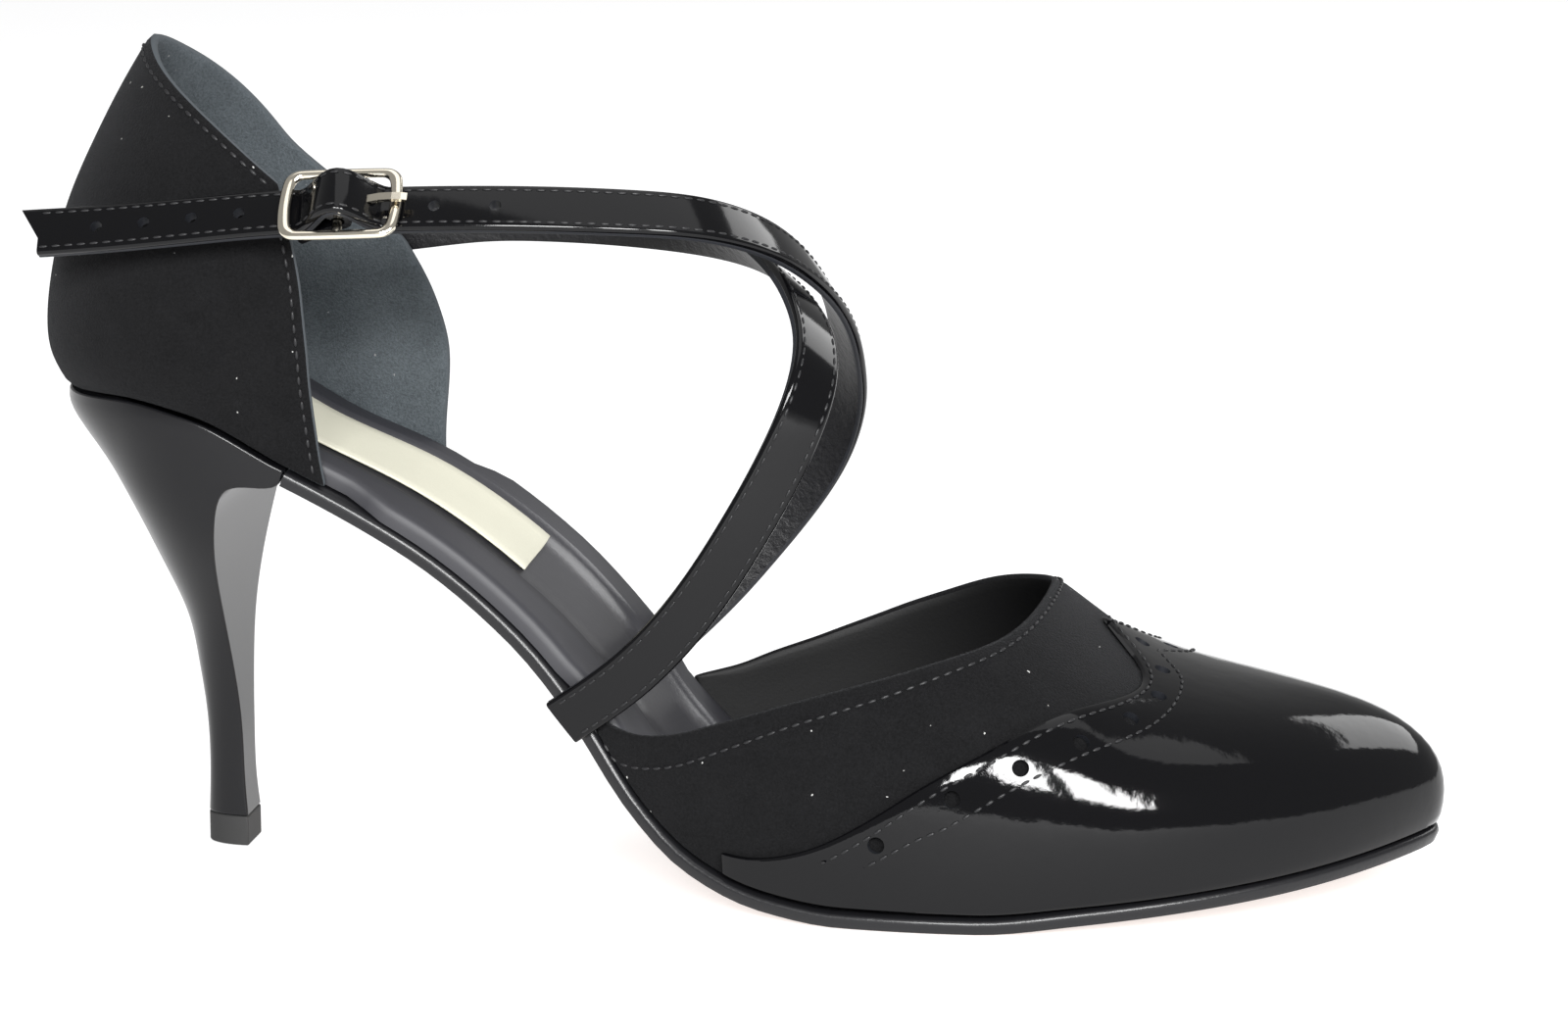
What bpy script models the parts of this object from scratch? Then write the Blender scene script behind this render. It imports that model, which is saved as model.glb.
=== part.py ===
# A right-foot tango shoe: a two-piece pump, open at both waists, on a slim heel.
# Length runs along X to the toe, the outer side of the foot is at -Y, the sole is on Z = 0.
# Every solid is worked out from the sizes below. The tables hold shares of those sizes.

import math

import bmesh
import bpy
import numpy as np
from mathutils import Matrix, Vector

MM = 0.001

# Last
LENGTH = 223.6 * MM
BALL_WIDTH = 72.5 * MM
SEAT_HEIGHT = 77.2 * MM
TOE_SPRING = 7.2 * MM
THROAT_HEIGHT = 48.0 * MM
ARCH_LIFT = 5.5 * MM
RIDGE_SWING = 4.0 * MM

# Thicknesses and fits
OUTSOLE_THICKNESS = 2.6 * MM
WELT_REACH = 1.2 * MM
INSOLE_THICKNESS = 3.0 * MM
CHANNEL_DEPTH = 1.0 * MM
CHANNEL_WIDTH = 25.0 * MM
VAMP_WALL = 1.5 * MM
CAP_WALL = 0.9 * MM
COUNTER_WALL = 2.0 * MM
FIT = 0.3 * MM

# Heel
BREAST_STATION = 41.6 * MM
TIP_BACK = 21.4 * MM
TIP_FRONT = 29.0 * MM
TOP_PIECE_HEIGHT = 5.0 * MM
SEAT_WIDTH = 48.0 * MM

# Counter
COUNTER_RISE = 58.0 * MM

# Straps
STRAP_WIDTH = 8.0 * MM
STRAP_THICKNESS = 2.0 * MM
TAIL_SLANT = 5.0 * MM

# Buckle
BUCKLE_LENGTH = 20.0 * MM
BUCKLE_HEIGHT = 13.0 * MM
BUCKLE_SIDE = 1.9 * MM
BUCKLE_RAIL = 1.6 * MM
BUCKLE_THICKNESS = 1.6 * MM
BUCKLE_BOW = 0.8 * MM
BUCKLE_STATION = 0.240
BUCKLE_SWELL = 5.7 * MM
BAR_RADIUS = 0.8 * MM
CHAPE_WIDTH = 6.6 * MM
CHAPE_THICKNESS = 1.1 * MM
PRONG_WIDTH = 1.3 * MM
PRONG_THICKNESS = 0.7 * MM
SLOT_START = 1.5 * MM
SLOT_END = 6.9 * MM
SLOT_WIDTH = 2.3 * MM

# Label
LABEL_WIDTH = 15.0 * MM
LABEL_THICKNESS = 0.4 * MM
LABEL_SHIFT = 2.5 * MM
LABEL_START = 0.181
LABEL_END = 0.338

# Plan of the feather line, back to toe: station on the length, widths as shares of the ball width
PLAN = (
    # station, outer, inner
    (0.000, 0.000, 0.000),
    (0.012, 0.125, 0.125),
    (0.042, 0.233, 0.233),
    (0.085, 0.302, 0.302),
    (0.135, 0.324, 0.322),
    (0.190, 0.316, 0.310),
    (0.250, 0.295, 0.284),
    (0.320, 0.288, 0.270),
    (0.390, 0.325, 0.285),
    (0.460, 0.396, 0.340),
    (0.530, 0.455, 0.408),
    (0.600, 0.490, 0.465),
    (0.670, 0.497, 0.497),
    (0.740, 0.473, 0.500),
    (0.810, 0.415, 0.470),
    (0.870, 0.333, 0.418),
    (0.920, 0.233, 0.347),
    (0.960, 0.120, 0.262),
    (0.988, 0.015, 0.170),
    (1.000, -0.067, 0.067),
)

# Height of the bed that foot and upper stand on: arch as a share of the seat, spring of the toe
BED = (
    # station, arch, spring, lift
    (0.000, 1.000, 0.000, 0.00),
    (0.060, 1.008, 0.000, 0.00),
    (0.115, 0.978, 0.000, 0.00),
    (0.182, 0.878, 0.000, 0.05),
    (0.268, 0.757, 0.000, 0.75),
    (0.354, 0.566, 0.000, 1.00),
    (0.400, 0.414, 0.000, 1.00),
    (0.443, 0.232, 0.000, 0.90),
    (0.487, 0.102, 0.000, 0.55),
    (0.541, 0.027, 0.000, 0.20),
    (0.595, 0.000, 0.000, 0.00),
    (0.690, 0.000, 0.000, 0.00),
    (0.759, 0.000, 0.190, 0.00),
    (0.898, 0.000, 0.600, 0.00),
    (1.000, 0.000, 1.000, 0.00),
)

# Ridge of the last above the floor, as a share of the throat's height
RIDGE = (
    # station, height
    (0.300, 2.420),
    (0.440, 2.170),
    (0.540, 1.800),
    (0.640, 1.350),
    (0.720, 1.010),
    (0.750, 0.898),
    (0.785, 0.778),
    (0.820, 0.716),
    (0.870, 0.668),
    (0.930, 0.622),
    (1.000, 0.575),
)

# Cross ribs of the last from the feather line up to the ridge, over the instep and at the toe
RIBS = (
    # way, instep reach, instep rise, toe reach, toe rise
    (1.00, 1.000, 0.000, 1.000, 0.000),
    (0.90, 1.018, 0.130, 1.032, 0.170),
    (0.79, 1.008, 0.280, 1.042, 0.350),
    (0.66, 0.955, 0.450, 1.006, 0.540),
    (0.52, 0.835, 0.635, 0.900, 0.720),
    (0.37, 0.640, 0.800, 0.690, 0.870),
    (0.20, 0.370, 0.935, 0.390, 0.965),
    (0.00, 0.000, 1.000, 0.000, 1.000),
)

# Opening of the vamp, from its rear ends to the throat: how far down its rib the edge lies
TOPLINE = (
    # outer station, outer way, inner station, inner way
    (0.411, 0.985, 0.444, 0.975),
    (0.437, 0.924, 0.464, 0.915),
    (0.482, 0.830, 0.500, 0.830),
    (0.535, 0.735, 0.546, 0.741),
    (0.588, 0.641, 0.595, 0.640),
    (0.635, 0.550, 0.638, 0.545),
    (0.674, 0.448, 0.674, 0.435),
    (0.701, 0.340, 0.700, 0.325),
    (0.716, 0.215, 0.716, 0.205),
    (0.722, 0.090, 0.722, 0.085),
    (0.723, 0.000, 0.723, 0.000),
)

# Rear edge of the wing cap, from its rear ends to its point on the ridge
CAP_EDGE = (
    # outer station, outer way, inner station, inner way
    (0.509, 0.962, 0.509, 0.962),
    (0.532, 0.948, 0.532, 0.948),
    (0.570, 0.908, 0.570, 0.908),
    (0.615, 0.832, 0.615, 0.832),
    (0.655, 0.738, 0.655, 0.738),
    (0.700, 0.620, 0.700, 0.620),
    (0.745, 0.475, 0.745, 0.475),
    (0.783, 0.325, 0.780, 0.330),
    (0.797, 0.215, 0.792, 0.230),
    (0.790, 0.130, 0.782, 0.150),
    (0.775, 0.065, 0.768, 0.080),
    (0.757, 0.000, 0.757, 0.000),
)

# Counter: how its back leans and how wide it is at each height above the seat
COUNTER_LEVELS = (
    # height, lean, width
    (-0.30, 0.000, 1.000),
    (0.00, 0.000, 1.000),
    (0.08, -0.045, 1.050),
    (0.17, -0.060, 1.075),
    (0.34, -0.040, 1.075),
    (0.52, 0.008, 1.030),
    (0.70, 0.090, 0.960),
    (0.85, 0.170, 0.860),
    (1.00, 0.262, 0.700),
)

# Front edges of the counter, upwards: station on the length
COUNTER_FRONT = (
    # height, outer, inner
    (-0.30, 0.222, 0.262),
    (-0.18, 0.213, 0.262),
    (-0.08, 0.209, 0.264),
    (0.07, 0.206, 0.264),
    (0.17, 0.205, 0.257),
    (0.27, 0.203, 0.246),
    (0.36, 0.201, 0.232),
    (0.48, 0.195, 0.215),
    (0.64, 0.186, 0.187),
)

# Top edge of the counter, from the point at the back round to the front edge
COUNTER_TOP = (
    # way round, outer height, inner height
    (0.00, 1.000, 1.000),
    (0.12, 0.990, 0.990),
    (0.30, 0.955, 0.955),
    (0.55, 0.880, 0.860),
    (0.80, 0.765, 0.650),
    (1.00, 0.635, 0.370),
)

# Sections of the heel upwards: shares of the seat's height, of the tip's back and front, of the seat's width
HEEL_SECTIONS = (
    # height, back, front, half width
    (0.068, 0.000, 1.000, 0.088),
    (0.140, 0.030, 0.940, 0.082),
    (0.240, 0.030, 0.915, 0.085),
    (0.320, -0.030, 0.890, 0.102),
    (0.400, -0.130, 0.850, 0.138),
    (0.510, -0.310, 0.810, 0.212),
    (0.630, -0.780, 0.850, 0.330),
    (0.740, -1.300, 0.990, 0.430),
    (0.830, -1.820, 1.350, 0.480),
)

# Strap with the buckle, from the inner waist over the instep to the outer ankle and its free end
BUCKLE_STRAP = (
    # station, across, height, facing turn, facing tilt
    (0.424, 0.346, 0.405, 92.0, -10.0),
    (0.462, 0.378, 0.513, 88.0, -6.0),
    (0.491, 0.396, 0.610, 84.0, -2.0),
    (0.521, 0.402, 0.721, 78.0, 3.0),
    (0.545, 0.386, 0.834, 68.0, 8.0),
    (0.559, 0.345, 0.950, 54.0, 15.0),
    (0.564, 0.270, 1.047, 38.0, 24.0),
    (0.564, 0.166, 1.149, 20.0, 34.0),
    (0.558, 0.050, 1.232, 2.0, 42.0),
    (0.545, -0.083, 1.312, -20.0, 44.0),
    (0.523, -0.207, 1.377, -42.0, 46.0),
    (0.487, -0.308, 1.422, -64.0, 45.0),
    (0.439, -0.368, 1.440, -80.0, 43.0),
    (0.385, -0.396, 1.446, -90.0, 42.0),
    (0.330, -0.410, 1.446, -90.0, 42.0),
    (0.285, -0.413, 1.442, -90.0, 42.0),
    (0.240, -0.414, 1.436, -90.0, 42.0),
    (0.195, -0.414, 1.428, -90.0, 42.0),
    (0.130, -0.414, 1.408, -90.0, 40.0),
    (0.062, -0.409, 1.386, -90.0, 37.0),
    (0.016, -0.404, 1.374, -90.0, 35.0),
)

# Strap that crosses under it, from the outer waist over the instep to the counter's inner front edge
CROSS_STRAP = (
    # station, across, height, facing turn, facing tilt
    (0.389, -0.362, 0.378, -92.0, -10.0),
    (0.437, -0.393, 0.483, -88.0, -6.0),
    (0.485, -0.409, 0.635, -82.0, -2.0),
    (0.521, -0.409, 0.795, -76.0, 3.0),
    (0.550, -0.393, 0.953, -66.0, 9.0),
    (0.567, -0.352, 1.090, -52.0, 18.0),
    (0.566, -0.270, 1.168, -36.0, 28.0),
    (0.551, -0.160, 1.232, -18.0, 38.0),
    (0.529, -0.035, 1.270, 2.0, 44.0),
    (0.497, 0.110, 1.297, 26.0, 42.0),
    (0.452, 0.245, 1.312, 52.0, 28.0),
    (0.395, 0.333, 1.318, 72.0, 12.0),
    (0.334, 0.362, 1.321, 84.0, 4.0),
    (0.285, 0.366, 1.317, 89.0, 0.0),
    (0.248, 0.357, 1.305, 91.0, 1.0),
    (0.215, 0.352, 1.292, 92.0, 3.0),
    (0.185, 0.354, 1.280, 92.0, 3.0),
)

def column(table, index):
    return np.array([row[index] for row in table], dtype=float)


def spline(knots, values, flat_start=False, flat_end=False):
    """Smooth cubic curve through the values; its ends are free, or level where asked."""
    knots = np.asarray(knots, dtype=float)
    values = np.asarray(values, dtype=float)
    count = len(knots)
    steps = np.diff(knots)
    slopes = np.diff(values) / steps
    matrix = np.zeros((count, count))
    right = np.zeros(count)
    for i in range(1, count - 1):
        matrix[i, i - 1] = steps[i - 1]
        matrix[i, i] = 2.0 * (steps[i - 1] + steps[i])
        matrix[i, i + 1] = steps[i]
        right[i] = 6.0 * (slopes[i] - slopes[i - 1])
    matrix[0, 0] = matrix[-1, -1] = 1.0
    if flat_start:
        matrix[0, :2] = (2.0 * steps[0], steps[0])
        right[0] = 6.0 * slopes[0]
    if flat_end:
        matrix[-1, -2:] = (steps[-1], 2.0 * steps[-1])
        right[-1] = -6.0 * slopes[-1]
    bends = np.linalg.solve(matrix, right)

    def curve(x):
        x = np.asarray(x, dtype=float)
        i = np.clip(np.searchsorted(knots, x) - 1, 0, count - 2)
        h = steps[i]
        a = (knots[i + 1] - x) / h
        b = (x - knots[i]) / h
        bend = ((a ** 3 - a) * bends[i] + (b ** 3 - b) * bends[i + 1]) * h * h / 6.0
        return a * values[i] + b * values[i + 1] + bend

    return curve


def steady(knots, values):
    """Cubic curve that never overshoots its values, for stretches that have to stay flat."""
    knots = np.asarray(knots, dtype=float)
    values = np.asarray(values, dtype=float)
    steps = np.diff(knots)
    slopes = np.diff(values) / steps
    tangents = np.zeros(len(knots))
    for i in range(1, len(knots) - 1):
        if slopes[i - 1] * slopes[i] > 0.0:
            w1 = 2.0 * steps[i] + steps[i - 1]
            w2 = steps[i] + 2.0 * steps[i - 1]
            tangents[i] = (w1 + w2) / (w1 / slopes[i - 1] + w2 / slopes[i])
    tangents[-1] = slopes[-1]

    def curve(x):
        x = np.asarray(x, dtype=float)
        i = np.clip(np.searchsorted(knots, x) - 1, 0, len(knots) - 2)
        h = steps[i]
        s = (x - knots[i]) / h
        rise = (3.0 - 2.0 * s) * s * s
        start = s * (1.0 - s) ** 2 * h * tangents[i]
        end = (s - 1.0) * s * s * h * tangents[i + 1]
        return values[i] * (1.0 - rise) + values[i + 1] * rise + start + end

    return curve


def ease(value, low, high):
    """Share that goes smoothly from 0 at low to 1 at high."""
    share = min(max((value - low) / (high - low), 0.0), 1.0)
    return share * share * (3.0 - 2.0 * share)


# The last

ARCH = steady(column(BED, 0), column(BED, 1))
SPRING = steady(column(BED, 0), column(BED, 2))
LIFT = steady(column(BED, 0), column(BED, 3))
RIDGE_LINE = spline(column(RIDGE, 0), column(RIDGE, 1))


def plan_ways():
    """Distance along the plan's outline at each row, as a share of the whole."""
    chords = []
    for here, there in zip(PLAN, PLAN[1:]):
        run = (there[0] - here[0]) * LENGTH
        outer = math.hypot(run, (there[1] - here[1]) * BALL_WIDTH)
        inner = math.hypot(run, (there[2] - here[2]) * BALL_WIDTH)
        chords.append(0.5 * (outer + inner))
    ways = np.concatenate(([0.0], np.cumsum(chords)))
    return ways / ways[-1]


WAYS = plan_ways()
PLAN_STATION = spline(WAYS, column(PLAN, 0), flat_start=True, flat_end=True)
PLAN_SIDE = {-1: spline(WAYS, column(PLAN, 1)), 1: spline(WAYS, column(PLAN, 2))}
FINE_WAYS = np.linspace(0.0, 1.0, 801)
FINE_STATIONS = PLAN_STATION(FINE_WAYS)

SPINE_BACK = 0.080
SPINE_FRONT = 0.905
FAN_BACK = 0.180
FAN_FRONT = 0.740


def way_at(station):
    """Way along the outline at which it reaches a station."""
    return float(np.interp(station, FINE_STATIONS, FINE_WAYS))


def outline(way, side, inset=0.0):
    """Point of the feather line in plan, drawn inwards by the inset."""
    step = 0.002
    low = max(way - step, 0.0)
    high = min(way + step, 1.0)
    here = Vector((PLAN_STATION(way) * LENGTH, side * PLAN_SIDE[side](way) * BALL_WIDTH))
    if inset == 0.0:
        return here
    run = Vector((PLAN_STATION(high) - PLAN_STATION(low), 0.0)) * LENGTH
    run.y = side * (PLAN_SIDE[side](high) - PLAN_SIDE[side](low)) * BALL_WIDTH
    if way <= 0.0 or way >= 1.0:
        run = Vector((0.0, side if way <= 0.0 else -side))
    run.normalize()
    inward = Vector((run.y, -run.x)) * side
    return here + inward * inset


def spine_station(station):
    """Station of the spine point that a rib starts from; ribs fan out at both ends."""
    if station > FAN_FRONT:
        share = (station - FAN_FRONT) / (1.0 - FAN_FRONT)
        return station - (1.0 - SPINE_FRONT) * share * share
    if station < FAN_BACK:
        share = (FAN_BACK - station) / FAN_BACK
        return station + SPINE_BACK * share * share
    return station


def spine(way):
    """Spine point in plan for the ribs at this way."""
    station = spine_station(float(PLAN_STATION(way)))
    swing = RIDGE_SWING * ease(station, 0.25, 0.65)
    return Vector((station * LENGTH, swing))


def bed_height(x):
    station = x / LENGTH
    arch = (SEAT_HEIGHT - OUTSOLE_THICKNESS) * ARCH(station)
    return float(OUTSOLE_THICKNESS + arch + TOE_SPRING * SPRING(station))


def bed_slope(x):
    step = 0.2 * MM
    return (bed_height(x + step) - bed_height(x - step)) / (2.0 * step)


def bed_lift(x, across):
    """How far the arch rises on the inner side and falls on the outer side."""
    return ARCH_LIFT * float(LIFT(x / LENGTH)) * (0.1 * across + 0.4 * across ** 3)


def bed(x, across, offset=0.0):
    """Place on the bed at a signed share across, moved along its slope's normal by an offset."""
    slope = bed_slope(x)
    length = math.hypot(1.0, slope)
    return x - slope / length * offset, bed_height(x) + bed_lift(x, across) + offset / length


def bed_under(x, across, gap):
    """Height above a place in plan at which an edge clears the bed by a gap."""
    return bed_height(x) + bed_lift(x, across) + gap * math.hypot(1.0, bed_slope(x))


RIB_WAYS = column(RIBS, 0)[::-1]
RIB_CURVES = [spline(RIB_WAYS, column(RIBS, i)[::-1], flat_start=i % 2 == 0) for i in range(1, 5)]


def skin(way, side, rib_way, offset=0.0):
    """Point of the upper's outer face on one rib, from the feather line at 1 to the ridge at 0."""
    foot = outline(way, side)
    top = spine(way)
    blend = ease(top.x / LENGTH, 0.60, 0.84)
    reach, rise, toe_reach, toe_rise = (float(curve(rib_way)) for curve in RIB_CURVES)
    reach += (toe_reach - reach) * blend
    rise += (toe_rise - rise) * blend
    plan = top.lerp(foot, reach)
    base = bed_under(foot.x, side, FIT)
    ridge = float(RIDGE_LINE(plan.x / LENGTH)) * THROAT_HEIGHT
    return Vector((plan.x, plan.y, base + (ridge - base) * rise))


# Mesh helpers

def clear_scene():
    for item in list(bpy.data.objects):
        bpy.data.objects.remove(item, do_unlink=True)


def collection(name):
    group = bpy.data.collections.new(name)
    bpy.context.scene.collection.children.link(group)
    return group


def material(name, color, roughness, metallic=0.0):
    finish = bpy.data.materials.new(name)
    finish.use_nodes = True
    shader = finish.node_tree.nodes["Principled BSDF"]
    shader.inputs["Base Color"].default_value = (*color, 1.0)
    shader.inputs["Roughness"].default_value = roughness
    shader.inputs["Metallic"].default_value = metallic
    return finish


def add_object(name, mesh, group, finish=None):
    item = bpy.data.objects.new(name, mesh)
    group.objects.link(item)
    if finish is not None:
        mesh.materials.append(finish)
    return item


def finish_mesh(name, bm, group, finish, sharp=40.0):
    """Close a bmesh into an object with its faces out and its round parts smooth."""
    bmesh.ops.remove_doubles(bm, verts=bm.verts, dist=0.01 * MM)
    bmesh.ops.recalc_face_normals(bm, faces=bm.faces)
    mesh = bpy.data.meshes.new(name)
    bm.to_mesh(mesh)
    bm.free()
    mesh.shade_smooth()
    mesh.set_sharp_from_angle(angle=math.radians(sharp))
    return add_object(name, mesh, group, finish)


def add_grid(bm, rows, close_rows=False):
    """Faces between rows of points, which are all of one length."""
    made = [[bm.verts.new(point) for point in row] for row in rows]
    pairs = list(zip(made, made[1:]))
    if close_rows:
        pairs.append((made[-1], made[0]))
    for first, second in pairs:
        for i in range(len(first) - 1):
            bm.faces.new((first[i], first[i + 1], second[i + 1], second[i]))
    return made


def loft(name, rings, group, finish, sharp=40.0):
    """Closed body through rings of points, with a flat face at each end."""
    bm = bmesh.new()
    made = [[bm.verts.new(point) for point in ring] for ring in rings]
    for first, second in zip(made, made[1:]):
        for i in range(len(first)):
            j = (i + 1) % len(first)
            bm.faces.new((first[i], first[j], second[j], second[i]))
    bm.faces.new(made[0])
    bm.faces.new(made[-1])
    return finish_mesh(name, bm, group, finish, sharp)


def shell(name, rows, wall, group, finish, push=0.0):
    """Open sheet through rows of points, pushed out along its normals and given a wall inwards."""
    bm = bmesh.new()
    add_grid(bm, rows)
    bmesh.ops.remove_doubles(bm, verts=bm.verts, dist=0.02 * MM)
    bmesh.ops.recalc_face_normals(bm, faces=bm.faces)
    center = Vector((0.5 * LENGTH, 0.0, 0.0))
    outward = sum(face.normal.dot(face.calc_center_median() - center) * face.calc_area() for face in bm.faces)
    if outward < 0.0:
        bmesh.ops.reverse_faces(bm, faces=bm.faces)
    bm.normal_update()
    moves = [(vert, vert.normal * push) for vert in bm.verts]
    for vert, move in moves:
        vert.co += move
    mesh = bpy.data.meshes.new(name)
    bm.to_mesh(mesh)
    bm.free()
    mesh.shade_smooth()
    mesh.set_sharp_from_angle(angle=math.radians(50.0))
    item = add_object(name, mesh, group, finish)
    thick = item.modifiers.new("wall", "SOLIDIFY")
    thick.thickness = wall
    thick.offset = -1.0
    thick.use_even_offset = True
    thick.use_quality_normals = True
    return item


# Upper

SPINE_WAYS = np.linspace(way_at(0.3), 1.0, 401)
SPINE_POINTS = np.array([spine(way) for way in SPINE_WAYS])
FOOT_POINTS = {side: np.array([outline(way, side) for way in SPINE_WAYS]) for side in (-1, 1)}


def laid_flat(way, side, rib_way):
    """Place in plan of a point laid flat along its rib."""
    return spine(way).lerp(outline(way, side), rib_way)


def rib_through(point):
    """Way, side and way down the rib of the rib that passes through a flat point."""
    tip = SPINE_POINTS[-1]
    toe = FOOT_POINTS[1][-1]
    middle = np.interp(point.x, np.append(SPINE_POINTS[:, 0], toe[0]), np.append(SPINE_POINTS[:, 1], toe[1]))
    side = 1 if point.y > middle else -1
    run = FOOT_POINTS[side] - SPINE_POINTS
    aim = np.array(point) - SPINE_POINTS
    turn = (run[:, 0] * aim[:, 1] - run[:, 1] * aim[:, 0]) * side
    i = int(np.argmax(turn >= 0.0)) if np.any(turn >= 0.0) else len(turn) - 1
    i = max(i, 1)
    share = turn[i - 1] / (turn[i - 1] - turn[i]) if turn[i] > turn[i - 1] else 1.0
    way = float(SPINE_WAYS[i - 1] + min(max(share, 0.0), 1.0) * (SPINE_WAYS[i] - SPINE_WAYS[i - 1]))
    base = spine(way)
    length = (outline(way, side) - base).length
    return way, side, min((point - base).length / length, 1.0)


def skin_at(point):
    """Point of the upper's outer face over a flat point."""
    way, side, rib_way = rib_through(point)
    return skin(way, side, rib_way)


def edge_line(edge, per_row, corner=False):
    """Flat points along an edge table, from its outer rear end round to its inner rear end."""
    steps = np.arange(len(edge), dtype=float)
    fine = np.linspace(0.0, len(edge) - 1.0, per_row * (len(edge) - 1) + 1)
    halves = []
    for side, first in ((-1, 0), (1, 2)):
        stations = spline(steps, column(edge, first), flat_end=not corner)(fine)
        ways = spline(steps, column(edge, first + 1))(fine)
        halves.append([laid_flat(way_at(s), side, max(w, 0.0)) for s, w in zip(stations, ways)])
    return halves[0] + halves[1][-2::-1]


def toward_toe(points, count, from_rear):
    """The same line with its points set closer together towards the toe."""
    gaps = [0.0] + [(b - a).length for a, b in zip(points, points[1:])]
    runs = np.cumsum(gaps)
    shares = np.linspace(1.0, 0.0, count) ** 1.25
    marks = runs[-1] * (1.0 - shares if from_rear else shares[::-1])
    xs = np.interp(marks, runs, [p.x for p in points])
    ys = np.interp(marks, runs, [p.y for p in points])
    return [Vector((x, y)) for x, y in zip(xs, ys)]


def upper_rows(edge, along, across, foot=1.0, corner=False):
    """Rows of skin points from the feather line up to an edge, round the toe."""
    top = edge_line(edge, 8, corner)
    start, end = (way_at(edge[0][0]), way_at(edge[0][2]))
    outer = [laid_flat(way, -1, foot) for way in np.linspace(start, 1.0, 200)]
    inner = [laid_flat(way, 1, foot) for way in np.linspace(1.0, end, 200)]
    outer_top = top[:len(top) // 2 + 1]
    inner_top = top[len(top) // 2:]
    half = along // 2
    feet = toward_toe(outer, half + 1, True) + toward_toe(inner, half + 1, False)[1:]
    tops = toward_toe(outer_top, half + 1, True) + toward_toe(inner_top, half + 1, False)[1:]
    shares = [1.0 - (1.0 - i / across) ** 0.85 for i in range(across + 1)]
    return [[skin_at(low.lerp(high, share)) for share in shares] for low, high in zip(feet, tops)]


def make_vamp(group):
    rows = upper_rows(TOPLINE, 54, 10)
    suede = material("black_suede", (0.012, 0.012, 0.014), 0.95)
    return shell("vamp", rows, VAMP_WALL, group, suede)


def make_toe_cap(group):
    rows = upper_rows(CAP_EDGE, 54, 9, foot=0.984, corner=True)
    patent = material("black_patent_cap", (0.008, 0.008, 0.009), 0.08)
    return shell("toe_cap", rows, CAP_WALL, group, patent, push=1.5 * FIT + CAP_WALL)


# Counter

LEAN = spline(column(COUNTER_LEVELS, 0), column(COUNTER_LEVELS, 1))
SPREAD = spline(column(COUNTER_LEVELS, 0), column(COUNTER_LEVELS, 2))
FRONT = {-1: spline(column(COUNTER_FRONT, 0), column(COUNTER_FRONT, 1)),
         1: spline(column(COUNTER_FRONT, 0), column(COUNTER_FRONT, 2))}
TOP = {-1: spline(column(COUNTER_TOP, 0), column(COUNTER_TOP, 1)),
       1: spline(column(COUNTER_TOP, 0), column(COUNTER_TOP, 2))}


def counter_plan(side, around, height):
    """Plan point of the counter's outer face at a way round from the back and a height."""
    level = (height - SEAT_HEIGHT) / COUNTER_RISE
    lean = float(LEAN(level)) * COUNTER_RISE
    front = float(FRONT[side](min(level, COUNTER_FRONT[-1][0]))) * LENGTH
    way = around * way_at((front - lean) / LENGTH)
    point = outline(way, side)
    return Vector((point.x + lean, point.y * float(SPREAD(level))))


def counter_point(side, around, share):
    """Point of the counter's outer face, from its bottom edge at 0 to its top edge at 1."""
    low = counter_plan(side, around, SEAT_HEIGHT)
    bottom = bed_under(low.x, side, FIT)
    low = counter_plan(side, around, bottom)
    bottom = bed_under(low.x, side, FIT)
    top = SEAT_HEIGHT + float(TOP[side](around)) * COUNTER_RISE
    height = bottom + (top - bottom) * share
    plan = counter_plan(side, around, height)
    return Vector((plan.x, plan.y, height))


def make_counter(group):
    around = np.linspace(1.0, 0.0, 14)
    shares = np.linspace(0.0, 1.0, 10)
    outer = [[counter_point(-1, r, s) for s in shares] for r in around]
    inner = [[counter_point(1, r, s) for s in shares] for r in around[-2::-1]]
    suede = material("black_suede_counter", (0.012, 0.012, 0.014), 0.95)
    return shell("counter", outer + inner, COUNTER_WALL, group, suede)


# Sole

PLATE_WAYS = [way / 44 for way in (0, 0.3, 0.65, *range(1, 44), 43.4, 43.75, 44)]


def plate_row(way, columns, inset, low, belly):
    """Ring of a plate at one way: its top from outer to inner edge, then its underside back."""
    middle = spine(way)
    halves = {}
    for side in (-1, 1):
        top_edge = outline(way, side, inset(way, side))
        low_edge = outline(way, side, inset(way, side) + belly)
        full = (outline(way, side) - middle).length
        top = []
        under = []
        for share, level in columns(way, side):
            for edge, height, points in ((top_edge, level, top), (low_edge, low, under)):
                plan = middle.lerp(edge, share)
                across = side * share * (edge - middle).length / full
                x, z = bed(plan.x, across, height)
                points.append(Vector((x, plan.y, z)))
        halves[side] = (top, under)
    top = halves[-1][0] + halves[1][0][-2::-1]
    under = halves[-1][1] + halves[1][1][-2::-1]
    return top + under[::-1]


def plate(name, ways, columns, inset, low, belly, group, finish, flat_back=False):
    """Body between two levels over the bed, out to the outline less an inset."""
    bm = bmesh.new()
    made = [[bm.verts.new(point) for point in plate_row(way, columns, inset, low, belly)] for way in ways]
    for first, second in zip(made, made[1:]):
        for i in range(len(first)):
            j = (i + 1) % len(first)
            bm.faces.new((first[i], first[j], second[j], second[i]))
    back = made[0]
    for i in range(len(back) // 2 - 1 if flat_back else 0):
        bm.faces.new((back[i], back[i + 1], back[-2 - i], back[-1 - i]))
    return finish_mesh(name, bm, group, finish)


def sole_inset(way, side):
    """The outsole stands out past the upper in front and is flush at the waist."""
    return -(0.25 * WELT_REACH + 0.75 * WELT_REACH * ease(float(PLAN_STATION(way)), 0.42, 0.53))


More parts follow.
